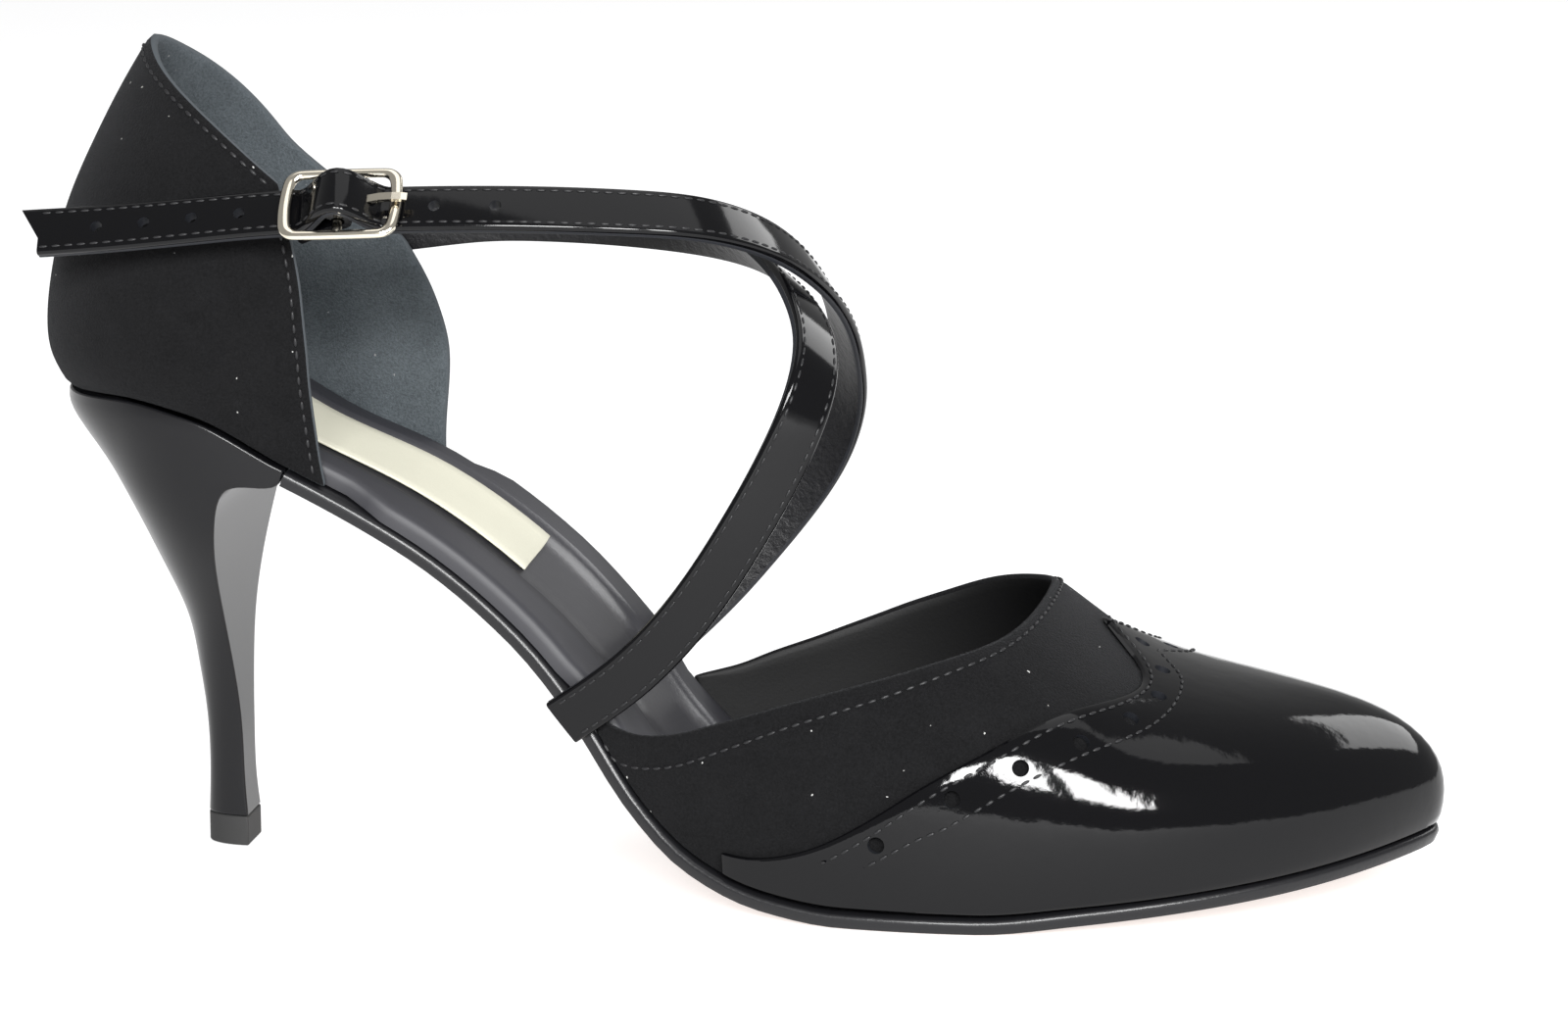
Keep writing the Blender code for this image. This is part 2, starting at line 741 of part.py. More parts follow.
def insole_inset(way, side):
    """The insole fits inside the counter and the vamp and fills the bare waist."""
    station = float(PLAN_STATION(way))
    column_index = 1 if side < 0 else 2
    counter_front = COUNTER_FRONT[1][column_index]
    vamp_rear = TOPLINE[0][0 if side < 0 else 2]
    inside_counter = 1.0 - ease(station, counter_front + 0.018, counter_front + 0.036)
    inside_vamp = ease(station, vamp_rear - 0.034, vamp_rear - 0.014)
    return FIT + (COUNTER_WALL + 2.0 * FIT) * inside_counter + (VAMP_WALL + FIT) * inside_vamp


def insole_columns(way, side):
    """Shares out from the spine and heights: soft edge, padded side, then the shallow channel."""
    reach = (outline(way, side, insole_inset(way, side)) - spine(way)).length
    half = 0.5 * CHANNEL_WIDTH
    crease = 1.0 * MM
    outer = min((half + crease) / reach, 0.84)
    inner = min((half - crease) / reach, 0.72)
    top = FIT + INSOLE_THICKNESS
    floor = top - CHANNEL_DEPTH
    return ((1.0, top - 0.8 * MM), (0.94, top), (0.5 * (0.94 + outer), top), (outer, top), (inner, floor), (0.0, floor))


def sole_columns(way, side):
    return ((1.0, 0.0), (0.86, 0.0), (0.68, 0.0), (0.45, 0.0), (0.0, 0.0))


def make_outsole(group):
    start = way_at(BREAST_STATION / LENGTH)
    ways = [start] + [way for way in PLATE_WAYS if way > start + 0.01]
    leather = material("sole_leather", (0.02, 0.018, 0.017), 0.5)
    belly = 0.8 * MM
    return plate("outsole", ways, sole_columns, sole_inset, -OUTSOLE_THICKNESS, belly, group, leather, True)


def make_insole(group):
    leather = material("insole_leather", (0.016, 0.016, 0.018), 0.35)
    return plate("insole", PLATE_WAYS, insole_columns, insole_inset, FIT, 0.0, group, leather)


def label_row(station):
    """Ring of the label at one station: along its top to the inner side, then back underneath."""
    way = way_at(station)
    low = FIT + INSOLE_THICKNESS - CHANNEL_DEPTH + FIT
    top = []
    under = []
    for share in (-1.0, -0.5, 0.0, 0.5, 1.0):
        y = LABEL_SHIFT + 0.5 * share * LABEL_WIDTH
        side = 1 if y > 0.0 else -1
        across = side * abs(y) / (outline(way, side) - spine(way)).length
        for height, points in ((low + LABEL_THICKNESS, top), (low, under)):
            x, z = bed(station * LENGTH, across, height)
            points.append(Vector((x, y, z)))
    return top + under[::-1]


def make_label(group):
    """Plain strip laid in the channel of the insole."""
    rings = [label_row(LABEL_START + (LABEL_END - LABEL_START) * i / 9) for i in range(10)]
    paper = material("label_strip", (0.80, 0.79, 0.68), 0.6)
    return loft("label", rings, group, paper)


# Heel

def heel_section(row, count):
    """One level ring: breast from outer to inner corner, then round the back."""
    height, back, front, half = row
    depth = TIP_FRONT - TIP_BACK
    x_back = TIP_BACK + back * depth
    x_front = TIP_BACK + front * depth
    wide = half * SEAT_WIDTH
    ring = [Vector((x_front, wide * y, height * SEAT_HEIGHT)) for y in (-1.0, -0.5, 0.0, 0.5)]
    for i in range(count):
        turn = math.pi * i / count
        x = x_front - (x_front - x_back) * math.sin(turn) ** 0.9
        ring.append(Vector((x, wide * math.cos(turn), height * SEAT_HEIGHT)))
    return ring


def heel_rim(count, offset):
    """Ring where the heel meets counter and insole, up on the bed."""
    front = way_at((BREAST_STATION - FIT) / LENGTH)
    ring = []
    for across in (-1.0, -0.5, 0.0, 0.5):
        side = -1 if across < 0.0 else 1
        edge = outline(front, side, 0.0)
        x, z = bed(edge.x, across, offset)
        ring.append(Vector((x, edge.y * abs(across), z)))
    for i in range(count):
        share = 1.0 - 2.0 * i / count
        side = 1 if share >= 0.0 else -1
        edge = outline(front * abs(share), side, 0.0)
        x, z = bed(edge.x, side, offset)
        ring.append(Vector((x, edge.y, z)))
    return ring


def make_heel(group):
    count = 22
    knots = [row[0] for row in HEEL_SECTIONS] + [0.955, 1.0]
    rings = [heel_section(row, count) for row in HEEL_SECTIONS]
    rings += [heel_rim(count, -OUTSOLE_THICKNESS), heel_rim(count, -0.5 * FIT)]
    levels = [0.068, 0.10, 0.15, 0.22, 0.29, 0.36, 0.43, 0.50, 0.57, 0.64, 0.70, 0.76, 0.81, 0.86, 0.91, 0.955, 1.0]
    paths = []
    for i in range(len(rings[0])):
        points = np.array([ring[i] for ring in rings])
        paths.append([spline(knots, points[:, axis]) for axis in range(3)])
    bm = bmesh.new()
    made = [[bm.verts.new([float(curve(level)) for curve in path]) for path in paths] for level in levels]
    for first, second in zip(made, made[1:]):
        for i in range(len(first)):
            j = (i + 1) % len(first)
            bm.faces.new((first[i], first[j], second[j], second[i]))
    bm.faces.new(made[0])
    top = made[-1]
    front, hull = top[:4], top[4:]
    half = count // 2
    for i in range(half - 1):
        a, b = hull[i], hull[i + 1]
        c, d = (hull[-1 - i], hull[-i]) if i else (hull[-1], front[0])
        bm.faces.new((a, b, c, d) if i else (front[3], front[2], front[1], front[0], hull[-1], b, a))
    bm.faces.new((hull[half - 1], hull[half], hull[half + 1]))
    lacquer = material("heel_lacquer", (0.008, 0.008, 0.008), 0.12)
    return finish_mesh("heel", bm, group, lacquer, sharp=35.0)


def make_top_piece(group):
    shape = HEEL_SECTIONS[0][1:]
    rings = [heel_section((height, *shape), 22) for height in (0.0, TOP_PIECE_HEIGHT / SEAT_HEIGHT)]
    rubber = material("top_piece_plastic", (0.01, 0.01, 0.01), 0.45)
    return loft("top_piece", rings, group, rubber)


# Straps

def strap_frames(table, spacing):
    """Evenly spaced frames along a strap: center, direction, breadth and outward face."""
    centers, runs = strap_runs(table)
    curves = [spline(runs, centers[:, axis]) for axis in range(3)]
    turn = spline(runs, column(table, 3))
    tilt = spline(runs, column(table, 4))
    marks = spacing(runs[-1])
    frames = []
    for mark in marks:
        here = Vector([float(curve(mark)) for curve in curves])
        ahead = Vector([float(curve(mark + 0.2 * MM) - curve(mark - 0.2 * MM)) for curve in curves]).normalized()
        azimuth = math.radians(float(turn(mark)))
        rise = math.radians(float(tilt(mark)))
        face = Vector((math.cos(azimuth) * math.cos(rise), math.sin(azimuth) * math.cos(rise), math.sin(rise)))
        face = (face - ahead * face.dot(ahead)).normalized()
        frames.append((here, ahead, face.cross(ahead), face))
    return frames


def strap_ring(frame, slant=0.0, raise_by=0.0):
    center, ahead, breadth, face = frame
    center = center + face * raise_by
    half = 0.5 * STRAP_WIDTH
    thick = 0.5 * STRAP_THICKNESS
    corners = ((-half, -thick), (half, -thick), (half, thick), (-half, thick))
    return [center + breadth * b + face * f + ahead * slant * (b / half) for b, f in corners]


def even_marks(step):
    def marks(length):
        count = max(int(round(length / step)), 2)
        return [length * i / count for i in range(count + 1)]
    return marks


def make_cross_strap(group):
    frames = strap_frames(CROSS_STRAP, even_marks(3.6 * MM))
    patent = material("black_patent_cross", (0.008, 0.008, 0.009), 0.08)
    return loft("strap_cross", [strap_ring(frame) for frame in frames], group, patent)


def strap_runs(table):
    """Centers of a strap table and the distance along the strap at each."""
    centers = np.array([(r[0] * LENGTH, r[1] * BALL_WIDTH, r[2] * SEAT_HEIGHT) for r in table])
    runs = np.concatenate(([0.0], np.cumsum(np.linalg.norm(np.diff(centers, axis=0), axis=1))))
    return centers, runs


def buckle_mark():
    """Distance along the strap at which it passes the middle of the buckle."""
    outer = BUCKLE_STRAP.index(min(BUCKLE_STRAP, key=lambda row: row[1]))
    runs = strap_runs(BUCKLE_STRAP)[1]
    return float(np.interp(-BUCKLE_STATION, -column(BUCKLE_STRAP, 0)[outer - 3:], runs[outer - 3:]))


def buckle_axes():
    """Middle of the buckle in the plane of its frame, and its axes: ahead, up and out."""
    mark = buckle_mark()
    center, back, rise, out = strap_frames(BUCKLE_STRAP, lambda length: [mark])[0]
    lift = 0.5 * STRAP_THICKNESS + FIT + 0.5 * BUCKLE_THICKNESS
    return center + out * lift, -back, back.cross(out), out


BUCKLE_MIDDLE, BUCKLE_AHEAD, BUCKLE_RISE, BUCKLE_OUT = buckle_axes()


def at_buckle(along, up, out):
    return BUCKLE_MIDDLE + BUCKLE_AHEAD * along + BUCKLE_RISE * up + BUCKLE_OUT * out


def buckle_wave(along):
    """How far the strap swells out over the buckle's bar."""
    reach = 0.5 * BUCKLE_LENGTH - BUCKLE_SIDE - BUCKLE_BOW
    if abs(along) >= reach:
        return 0.0
    return BUCKLE_SWELL * math.cos(0.5 * math.pi * along / reach) ** 2


def cut_at_buckle(item, name, along, up, out, group):
    """Cut a box out of a body, given by its reach along, up and out from the buckle's middle."""
    bm = bmesh.new()
    bmesh.ops.create_cube(bm, size=1.0)
    for vert in bm.verts:
        place = []
        for value, (low, high) in zip(vert.co, (along, up, out)):
            place.append(low + (value + 0.5) * (high - low))
        vert.co = at_buckle(*place)
    cutter = finish_mesh(name, bm, group, None)
    cutter.hide_render = True
    cutter.display_type = "WIRE"
    cut = item.modifiers.new("cut", "BOOLEAN")
    cut.operation = "DIFFERENCE"
    cut.object = cutter


def make_buckle_strap(group, cutters):
    """Strap that runs under both sides of the buckle and over its bar."""
    middle = buckle_mark()
    length = float(strap_runs(BUCKLE_STRAP)[1][-1])
    near = 0.5 * BUCKLE_LENGTH - BUCKLE_SIDE - BUCKLE_BOW
    marks = [(middle - near) * i / 34 for i in range(34)]
    marks += [middle - near + 2.0 * near * i / 12 for i in range(13)]
    marks += [middle + near + (length - middle - near) * i / 8 for i in range(1, 9)]
    rings = []
    for mark, frame in zip(marks, strap_frames(BUCKLE_STRAP, lambda length: marks)):
        slant = -0.5 * TAIL_SLANT if mark == marks[-1] else 0.0
        rings.append(strap_ring(frame, slant, buckle_wave(mark - middle)))
    patent = material("black_patent_buckle", (0.008, 0.008, 0.009), 0.08)
    strap = loft("strap_buckle", rings, group, patent)
    half = 0.5 * SLOT_WIDTH
    cut_at_buckle(strap, "cut_slot", (SLOT_START, SLOT_END), (-half, half), (-6.0 * MM, 8.0 * MM), cutters)
    return strap


def frame_loop(half_length, half_height, corner):
    """Loop of a rounded oblong whose short sides bow out, as along and up."""
    loop = []
    for x_sign, y_sign, start in ((1, 1, 0.0), (-1, 1, 90.0), (-1, -1, 180.0), (1, -1, 270.0)):
        for i in range(5):
            angle = math.radians(start + 22.5 * i)
            x = x_sign * (half_length - corner) + corner * math.cos(angle)
            y = y_sign * (half_height - corner) + corner * math.sin(angle)
            loop.append((x - x_sign * BUCKLE_BOW * (y / half_height) ** 2, y))
        if y_sign > 0 and x_sign < 0:
            loop.append((-half_length, 0.0))
    loop.append((half_length, 0.0))
    return loop


def make_buckle_frame(group, cutters):
    """Oblong frame with a round bar across its middle."""
    half_length = 0.5 * BUCKLE_LENGTH
    half_height = 0.5 * BUCKLE_HEIGHT
    outer = frame_loop(half_length, half_height, 2.4 * MM)
    inner = frame_loop(half_length - BUCKLE_SIDE, half_height - BUCKLE_RAIL, 1.2 * MM)
    half = 0.5 * BUCKLE_THICKNESS
    bm = bmesh.new()
    rings = []
    for loop, out in ((outer, -half), (outer, half), (inner, half), (inner, -half)):
        rings.append([bm.verts.new(at_buckle(x, y, out)) for x, y in loop])
    for first, second in zip(rings, rings[1:] + rings[:1]):
        for i in range(len(first)):
            j = (i + 1) % len(first)
            bm.faces.new((first[i], first[j], second[j], second[i]))
    metal = material("pale_metal", (0.80, 0.74, 0.62), 0.18, 1.0)
    frame = finish_mesh("buckle_frame", bm, group, metal)
    reach = half_height - 0.5 * BUCKLE_RAIL
    bar = []
    for up in (-reach, reach):
        bar.append([at_buckle(x, up, out) for x, out in arc(BAR_RADIUS, 15.0, 345.0, 11)])
    rod = loft("add_bar", bar, cutters, None)
    rod.hide_render = True
    rod.display_type = "WIRE"
    join = frame.modifiers.new("bar", "BOOLEAN")
    join.operation = "UNION"
    join.object = rod
    return frame


def bent_strip(name, path, width, thickness, group, finish):
    """Strip of one width that follows a path given as along and out from the buckle's middle."""
    rings = []
    for i, (along, out) in enumerate(path):
        before = path[max(i - 1, 0)]
        after = path[min(i + 1, len(path) - 1)]
        run = Vector((after[0] - before[0], after[1] - before[1])).normalized()
        side = Vector((-run.y, run.x)) * 0.5 * thickness
        ring = []
        for up, sign in ((-0.5, -1), (0.5, -1), (0.5, 1), (-0.5, 1)):
            ring.append(at_buckle(along + side.x * sign, up * width, out + side.y * sign))
        rings.append(ring)
    return loft(name, rings, group, finish)


def arc(radius, start, end, count):
    angles = [math.radians(start + (end - start) * i / count) for i in range(count + 1)]
    return [(radius * math.cos(a), radius * math.sin(a)) for a in angles]


def make_buckle_chape(group, cutters):
    """Loop from the counter's front edge round the buckle's bar, slotted for the prong."""
    radius = BAR_RADIUS + FIT + 0.5 * CHAPE_THICKNESS
    path = [(-7.4 * MM, -5.6 * MM), (-5.6 * MM, -4.6 * MM), (-3.8 * MM, -3.2 * MM), (-2.0 * MM, -2.1 * MM)]
    path += arc(radius, -95.0, 150.0, 12)
    patent = material("black_patent_chape", (0.008, 0.008, 0.009), 0.08)
    chape = bent_strip("buckle_chape", path, CHAPE_WIDTH, CHAPE_THICKNESS, group, patent)
    half = 0.5 * PRONG_WIDTH + FIT
    cut_at_buckle(chape, "cut_chape", (-2.4 * MM, 3.0 * MM), (-half, half), (-3.2 * MM, 3.2 * MM), cutters)
    return chape


def make_buckle_prong(group):
    """Prong hooked round the bar, up through the strap and over the front side of the frame."""
    half = 0.5 * PRONG_THICKNESS
    seat = 0.5 * BUCKLE_THICKNESS + FIT + half
    path = arc(BAR_RADIUS + FIT + half, 150.0, 355.0, 10)
    path += [(2.6 * MM, 0.3 * MM), (4.6 * MM, 0.95 * MM), (6.6 * MM, seat), (8.6 * MM, seat + 0.1 * MM)]
    path += [(10.0 * MM, seat), (10.9 * MM, seat - 0.25 * MM)]
    metal = material("pale_metal_prong", (0.80, 0.74, 0.62), 0.18, 1.0)
    return bent_strip("buckle_prong", path, PRONG_WIDTH, PRONG_THICKNESS, group, metal)


def stand_at_origin(group, cutters):
    """Put the middle of the shoe's box over the origin and its lowest point on the floor."""
    bpy.context.view_layer.update()
    graph = bpy.context.evaluated_depsgraph_get()
    points = []
    for item in group.objects:
        shape = item.evaluated_get(graph)
        points += [shape.matrix_world @ Vector(corner) for corner in shape.bound_box]
    low = Vector([min(p[i] for p in points) for i in range(3)])
    high = Vector([max(p[i] for p in points) for i in range(3)])
    shift = Vector((-0.5 * (low.x + high.x), -0.5 * (low.y + high.y), 0.0))
    for item in list(group.objects) + list(cutters.objects):
        item.data.transform(Matrix.Translation(shift))


def main():
    clear_scene()
    shoe = collection("tango_shoe")
    cutters = collection("cutters")
    make_outsole(shoe)
    make_insole(shoe)
    make_vamp(shoe)
    make_toe_cap(shoe)
    make_counter(shoe)
    make_heel(shoe)
    make_top_piece(shoe)
    make_cross_strap(shoe)
    make_buckle_strap(shoe, cutters)
    make_buckle_frame(shoe, cutters)
    make_buckle_chape(shoe, cutters)
    make_buckle_prong(shoe)
    make_label(shoe)
    stand_at_origin(shoe, cutters)


main()
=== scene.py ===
"""Looks of a right-foot tango shoe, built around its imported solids."""

import math

import bmesh
import bpy
import numpy as np
from mathutils import Matrix, Vector


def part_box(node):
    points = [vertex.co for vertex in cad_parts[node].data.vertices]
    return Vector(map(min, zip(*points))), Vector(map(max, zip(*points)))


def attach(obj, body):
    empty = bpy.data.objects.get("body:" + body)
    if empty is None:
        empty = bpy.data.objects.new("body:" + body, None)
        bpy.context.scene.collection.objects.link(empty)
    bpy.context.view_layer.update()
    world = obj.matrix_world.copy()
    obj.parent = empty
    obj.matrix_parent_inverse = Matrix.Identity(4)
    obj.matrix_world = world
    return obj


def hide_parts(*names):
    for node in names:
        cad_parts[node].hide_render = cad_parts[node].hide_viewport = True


bl_info = {
    "name": "Tango shoe",
    "version": (1, 0, 0),
    "blender": (4, 5, 0),
    "location": "View3D > Sidebar > Shoe",
    "description": "Builds the visible pieces of a tango shoe over its solids",
    "category": "Object",
}

MM = 0.001

# Last
LENGTH = 223.6 * MM
BALL_WIDTH = 72.5 * MM
SEAT_HEIGHT = 77.2 * MM
TOE_SPRING = 7.2 * MM
THROAT_HEIGHT = 48.0 * MM
ARCH_LIFT = 5.5 * MM
RIDGE_SWING = 4.0 * MM

# Thicknesses and fits
OUTSOLE_THICKNESS = 2.6 * MM
WELT_REACH = 1.2 * MM
INSOLE_THICKNESS = 3.0 * MM
CHANNEL_DEPTH = 1.0 * MM
CHANNEL_WIDTH = 25.0 * MM
VAMP_WALL = 1.5 * MM
CAP_WALL = 0.9 * MM
COUNTER_WALL = 2.0 * MM
FIT = 0.3 * MM

# Heel
BREAST_STATION = 41.6 * MM
TIP_BACK = 21.4 * MM
TIP_FRONT = 29.0 * MM
TOP_PIECE_HEIGHT = 5.0 * MM
SEAT_WIDTH = 48.0 * MM

# Counter
COUNTER_RISE = 58.0 * MM

# Straps
STRAP_WIDTH = 8.0 * MM
STRAP_THICKNESS = 2.0 * MM
TAIL_SLANT = 5.0 * MM

# Buckle
BUCKLE_LENGTH = 20.0 * MM
BUCKLE_HEIGHT = 13.0 * MM
BUCKLE_SIDE = 1.9 * MM
BUCKLE_RAIL = 1.6 * MM
BUCKLE_THICKNESS = 1.6 * MM
BUCKLE_BOW = 0.8 * MM
BUCKLE_STATION = 0.240
BUCKLE_SWELL = 5.7 * MM
BAR_RADIUS = 0.8 * MM

# Label
LABEL_THICKNESS = 0.4 * MM
LABEL_SHIFT = 2.5 * MM
LABEL_END = 0.338

# Plan of the feather line, back to toe: station on the length, widths as shares of the ball width
PLAN = (
    # station, outer, inner
    (0.000, 0.000, 0.000),
    (0.012, 0.125, 0.125),
    (0.042, 0.233, 0.233),
    (0.085, 0.302, 0.302),
    (0.135, 0.324, 0.322),
    (0.190, 0.316, 0.310),
    (0.250, 0.295, 0.284),
    (0.320, 0.288, 0.270),
    (0.390, 0.325, 0.285),
    (0.460, 0.396, 0.340),
    (0.530, 0.455, 0.408),
    (0.600, 0.490, 0.465),
    (0.670, 0.497, 0.497),
    (0.740, 0.473, 0.500),
    (0.810, 0.415, 0.470),
    (0.870, 0.333, 0.418),
    (0.920, 0.233, 0.347),
    (0.960, 0.120, 0.262),
    (0.988, 0.015, 0.170),
    (1.000, -0.067, 0.067),
)

# Height of the bed that foot and upper stand on: arch as a share of the seat, spring of the toe
BED = (
    # station, arch, spring, lift
    (0.000, 1.000, 0.000, 0.00),
    (0.060, 1.008, 0.000, 0.00),
    (0.115, 0.978, 0.000, 0.00),
    (0.182, 0.878, 0.000, 0.05),
    (0.268, 0.757, 0.000, 0.75),
    (0.354, 0.566, 0.000, 1.00),
    (0.400, 0.414, 0.000, 1.00),
    (0.443, 0.232, 0.000, 0.90),
    (0.487, 0.102, 0.000, 0.55),
    (0.541, 0.027, 0.000, 0.20),
    (0.595, 0.000, 0.000, 0.00),
    (0.690, 0.000, 0.000, 0.00),
    (0.759, 0.000, 0.190, 0.00),
    (0.898, 0.000, 0.600, 0.00),
    (1.000, 0.000, 1.000, 0.00),
)

# Ridge of the last above the floor, as a share of the throat's height
RIDGE = (
    # station, height
    (0.300, 2.420),
    (0.440, 2.170),
    (0.540, 1.800),
    (0.640, 1.350),
    (0.720, 1.010),
    (0.750, 0.898),
    (0.785, 0.778),
    (0.820, 0.716),
    (0.870, 0.668),
    (0.930, 0.622),
    (1.000, 0.575),
)

# Cross ribs of the last from the feather line up to the ridge, over the instep and at the toe
RIBS = (
    # way, instep reach, instep rise, toe reach, toe rise
    (1.00, 1.000, 0.000, 1.000, 0.000),
    (0.90, 1.018, 0.130, 1.032, 0.170),
    (0.79, 1.008, 0.280, 1.042, 0.350),
    (0.66, 0.955, 0.450, 1.006, 0.540),
    (0.52, 0.835, 0.635, 0.900, 0.720),
    (0.37, 0.640, 0.800, 0.690, 0.870),
    (0.20, 0.370, 0.935, 0.390, 0.965),
    (0.00, 0.000, 1.000, 0.000, 1.000),
)

# Opening of the vamp, from its rear ends to the throat: how far down its rib the edge lies
TOPLINE = (
    # outer station, outer way, inner station, inner way
    (0.411, 0.985, 0.444, 0.975),
    (0.437, 0.924, 0.464, 0.915),
    (0.482, 0.830, 0.500, 0.830),
    (0.535, 0.735, 0.546, 0.741),
    (0.588, 0.641, 0.595, 0.640),
    (0.635, 0.550, 0.638, 0.545),
    (0.674, 0.448, 0.674, 0.435),
    (0.701, 0.340, 0.700, 0.325),
    (0.716, 0.215, 0.716, 0.205),
    (0.722, 0.090, 0.722, 0.085),
    (0.723, 0.000, 0.723, 0.000),
)

# Rear edge of the wing cap, from its rear ends to its point on the ridge
CAP_EDGE = (
    # outer station, outer way, inner station, inner way
    (0.509, 0.962, 0.509, 0.962),
    (0.532, 0.948, 0.532, 0.948),
    (0.570, 0.908, 0.570, 0.908),
    (0.615, 0.832, 0.615, 0.832),
    (0.655, 0.738, 0.655, 0.738),
    (0.700, 0.620, 0.700, 0.620),
    (0.745, 0.475, 0.745, 0.475),
    (0.783, 0.325, 0.780, 0.330),
    (0.797, 0.215, 0.792, 0.230),
    (0.790, 0.130, 0.782, 0.150),
    (0.775, 0.065, 0.768, 0.080),
    (0.757, 0.000, 0.757, 0.000),
)

# Counter: how its back leans and how wide it is at each height above the seat
COUNTER_LEVELS = (
    # height, lean, width
    (-0.30, 0.000, 1.000),
    (0.00, 0.000, 1.000),
    (0.08, -0.045, 1.050),
    (0.17, -0.060, 1.075),
    (0.34, -0.040, 1.075),
    (0.52, 0.008, 1.030),
    (0.70, 0.090, 0.960),
    (0.85, 0.170, 0.860),
    (1.00, 0.262, 0.700),
)

# Front edges of the counter, upwards: station on the length
COUNTER_FRONT = (
    # height, outer, inner
    (-0.30, 0.222, 0.262),
    (-0.18, 0.213, 0.262),
    (-0.08, 0.209, 0.264),
    (0.07, 0.206, 0.264),
    (0.17, 0.205, 0.257),
    (0.27, 0.203, 0.246),
    (0.36, 0.201, 0.232),
    (0.48, 0.195, 0.215),
    (0.64, 0.186, 0.187),
)

# Top edge of the counter, from the point at the back round to the front edge
COUNTER_TOP = (
    # way round, outer height, inner height
    (0.00, 1.000, 1.000),
    (0.12, 0.990, 0.990),
    (0.30, 0.955, 0.955),
    (0.55, 0.880, 0.860),
    (0.80, 0.765, 0.650),
    (1.00, 0.635, 0.370),
)

# Sections of the heel upwards: shares of the way to the seat, of the tip's depth and of the seat's width
HEEL_SECTIONS = (
    # height, back, front, half width
    (0.000, 0.000, 1.000, 0.088),
    (0.077, 0.030, 0.940, 0.082),
    (0.184, 0.030, 0.915, 0.085),
    (0.270, -0.030, 0.890, 0.102),
    (0.356, -0.130, 0.850, 0.138),
    (0.474, -0.310, 0.810, 0.212),
    (0.603, -0.780, 0.850, 0.330),
    (0.721, -1.300, 0.990, 0.430),
    (0.818, -1.820, 1.350, 0.480),
)

# Strap with the buckle, from the inner waist over the instep to the outer ankle and its free end
BUCKLE_STRAP = (
    # station, across, height, facing turn, facing tilt
    (0.424, 0.346, 0.405, 92.0, -10.0),
    (0.462, 0.378, 0.513, 88.0, -6.0),
    (0.491, 0.396, 0.610, 84.0, -2.0),
    (0.521, 0.402, 0.721, 78.0, 3.0),
    (0.545, 0.386, 0.834, 68.0, 8.0),
    (0.559, 0.345, 0.950, 54.0, 15.0),
    (0.564, 0.270, 1.047, 38.0, 24.0),
    (0.564, 0.166, 1.149, 20.0, 34.0),
    (0.558, 0.050, 1.232, 2.0, 42.0),
    (0.545, -0.083, 1.312, -20.0, 44.0),
    (0.523, -0.207, 1.377, -42.0, 46.0),
    (0.487, -0.308, 1.422, -64.0, 45.0),
    (0.439, -0.368, 1.440, -80.0, 43.0),
    (0.385, -0.396, 1.446, -90.0, 42.0),
    (0.330, -0.410, 1.446, -90.0, 42.0),
    (0.285, -0.413, 1.442, -90.0, 42.0),
    (0.240, -0.414, 1.436, -90.0, 42.0),
    (0.195, -0.414, 1.428, -90.0, 42.0),
    (0.130, -0.414, 1.408, -90.0, 40.0),
    (0.062, -0.409, 1.386, -90.0, 37.0),
    (0.016, -0.404, 1.374, -90.0, 35.0),
)

# Strap that crosses under it, from the outer waist over the instep to the counter's inner front edge
CROSS_STRAP = (
    # station, across, height, facing turn, facing tilt
    (0.389, -0.362, 0.378, -92.0, -10.0),
    (0.437, -0.393, 0.483, -88.0, -6.0),
    (0.485, -0.409, 0.635, -82.0, -2.0),
    (0.521, -0.409, 0.795, -76.0, 3.0),
    (0.550, -0.393, 0.953, -66.0, 9.0),
    (0.567, -0.352, 1.090, -52.0, 18.0),
    (0.566, -0.270, 1.168, -36.0, 28.0),
    (0.551, -0.160, 1.232, -18.0, 38.0),
    (0.529, -0.035, 1.270, 2.0, 44.0),
    (0.497, 0.110, 1.297, 26.0, 42.0),
    (0.452, 0.245, 1.312, 52.0, 28.0),
    (0.395, 0.333, 1.318, 72.0, 12.0),
    (0.334, 0.362, 1.321, 84.0, 4.0),
    (0.285, 0.366, 1.317, 89.0, 0.0),
    (0.248, 0.357, 1.305, 91.0, 1.0),
    (0.215, 0.352, 1.292, 92.0, 3.0),
    (0.185, 0.354, 1.280, 92.0, 3.0),
)

def column(table, index):
    return np.array([row[index] for row in table], dtype=float)


def spline(knots, values, flat_start=False, flat_end=False):
    """Smooth cubic curve through the values; its ends are free, or level where asked."""
    knots = np.asarray(knots, dtype=float)
    values = np.asarray(values, dtype=float)
    count = len(knots)
    steps = np.diff(knots)
    slopes = np.diff(values) / steps
    matrix = np.zeros((count, count))
    right = np.zeros(count)
    for i in range(1, count - 1):
        matrix[i, i - 1] = steps[i - 1]
        matrix[i, i] = 2.0 * (steps[i - 1] + steps[i])
        matrix[i, i + 1] = steps[i]
        right[i] = 6.0 * (slopes[i] - slopes[i - 1])
    matrix[0, 0] = matrix[-1, -1] = 1.0
    if flat_start:
        matrix[0, :2] = (2.0 * steps[0], steps[0])
        right[0] = 6.0 * slopes[0]
    if flat_end:
        matrix[-1, -2:] = (steps[-1], 2.0 * steps[-1])
        right[-1] = -6.0 * slopes[-1]
    bends = np.linalg.solve(matrix, right)

    def curve(x):
        x = np.asarray(x, dtype=float)
        i = np.clip(np.searchsorted(knots, x) - 1, 0, count - 2)
        h = steps[i]
        a = (knots[i + 1] - x) / h
        b = (x - knots[i]) / h
        bend = ((a ** 3 - a) * bends[i] + (b ** 3 - b) * bends[i + 1]) * h * h / 6.0
        return a * values[i] + b * values[i + 1] + bend

    return curve


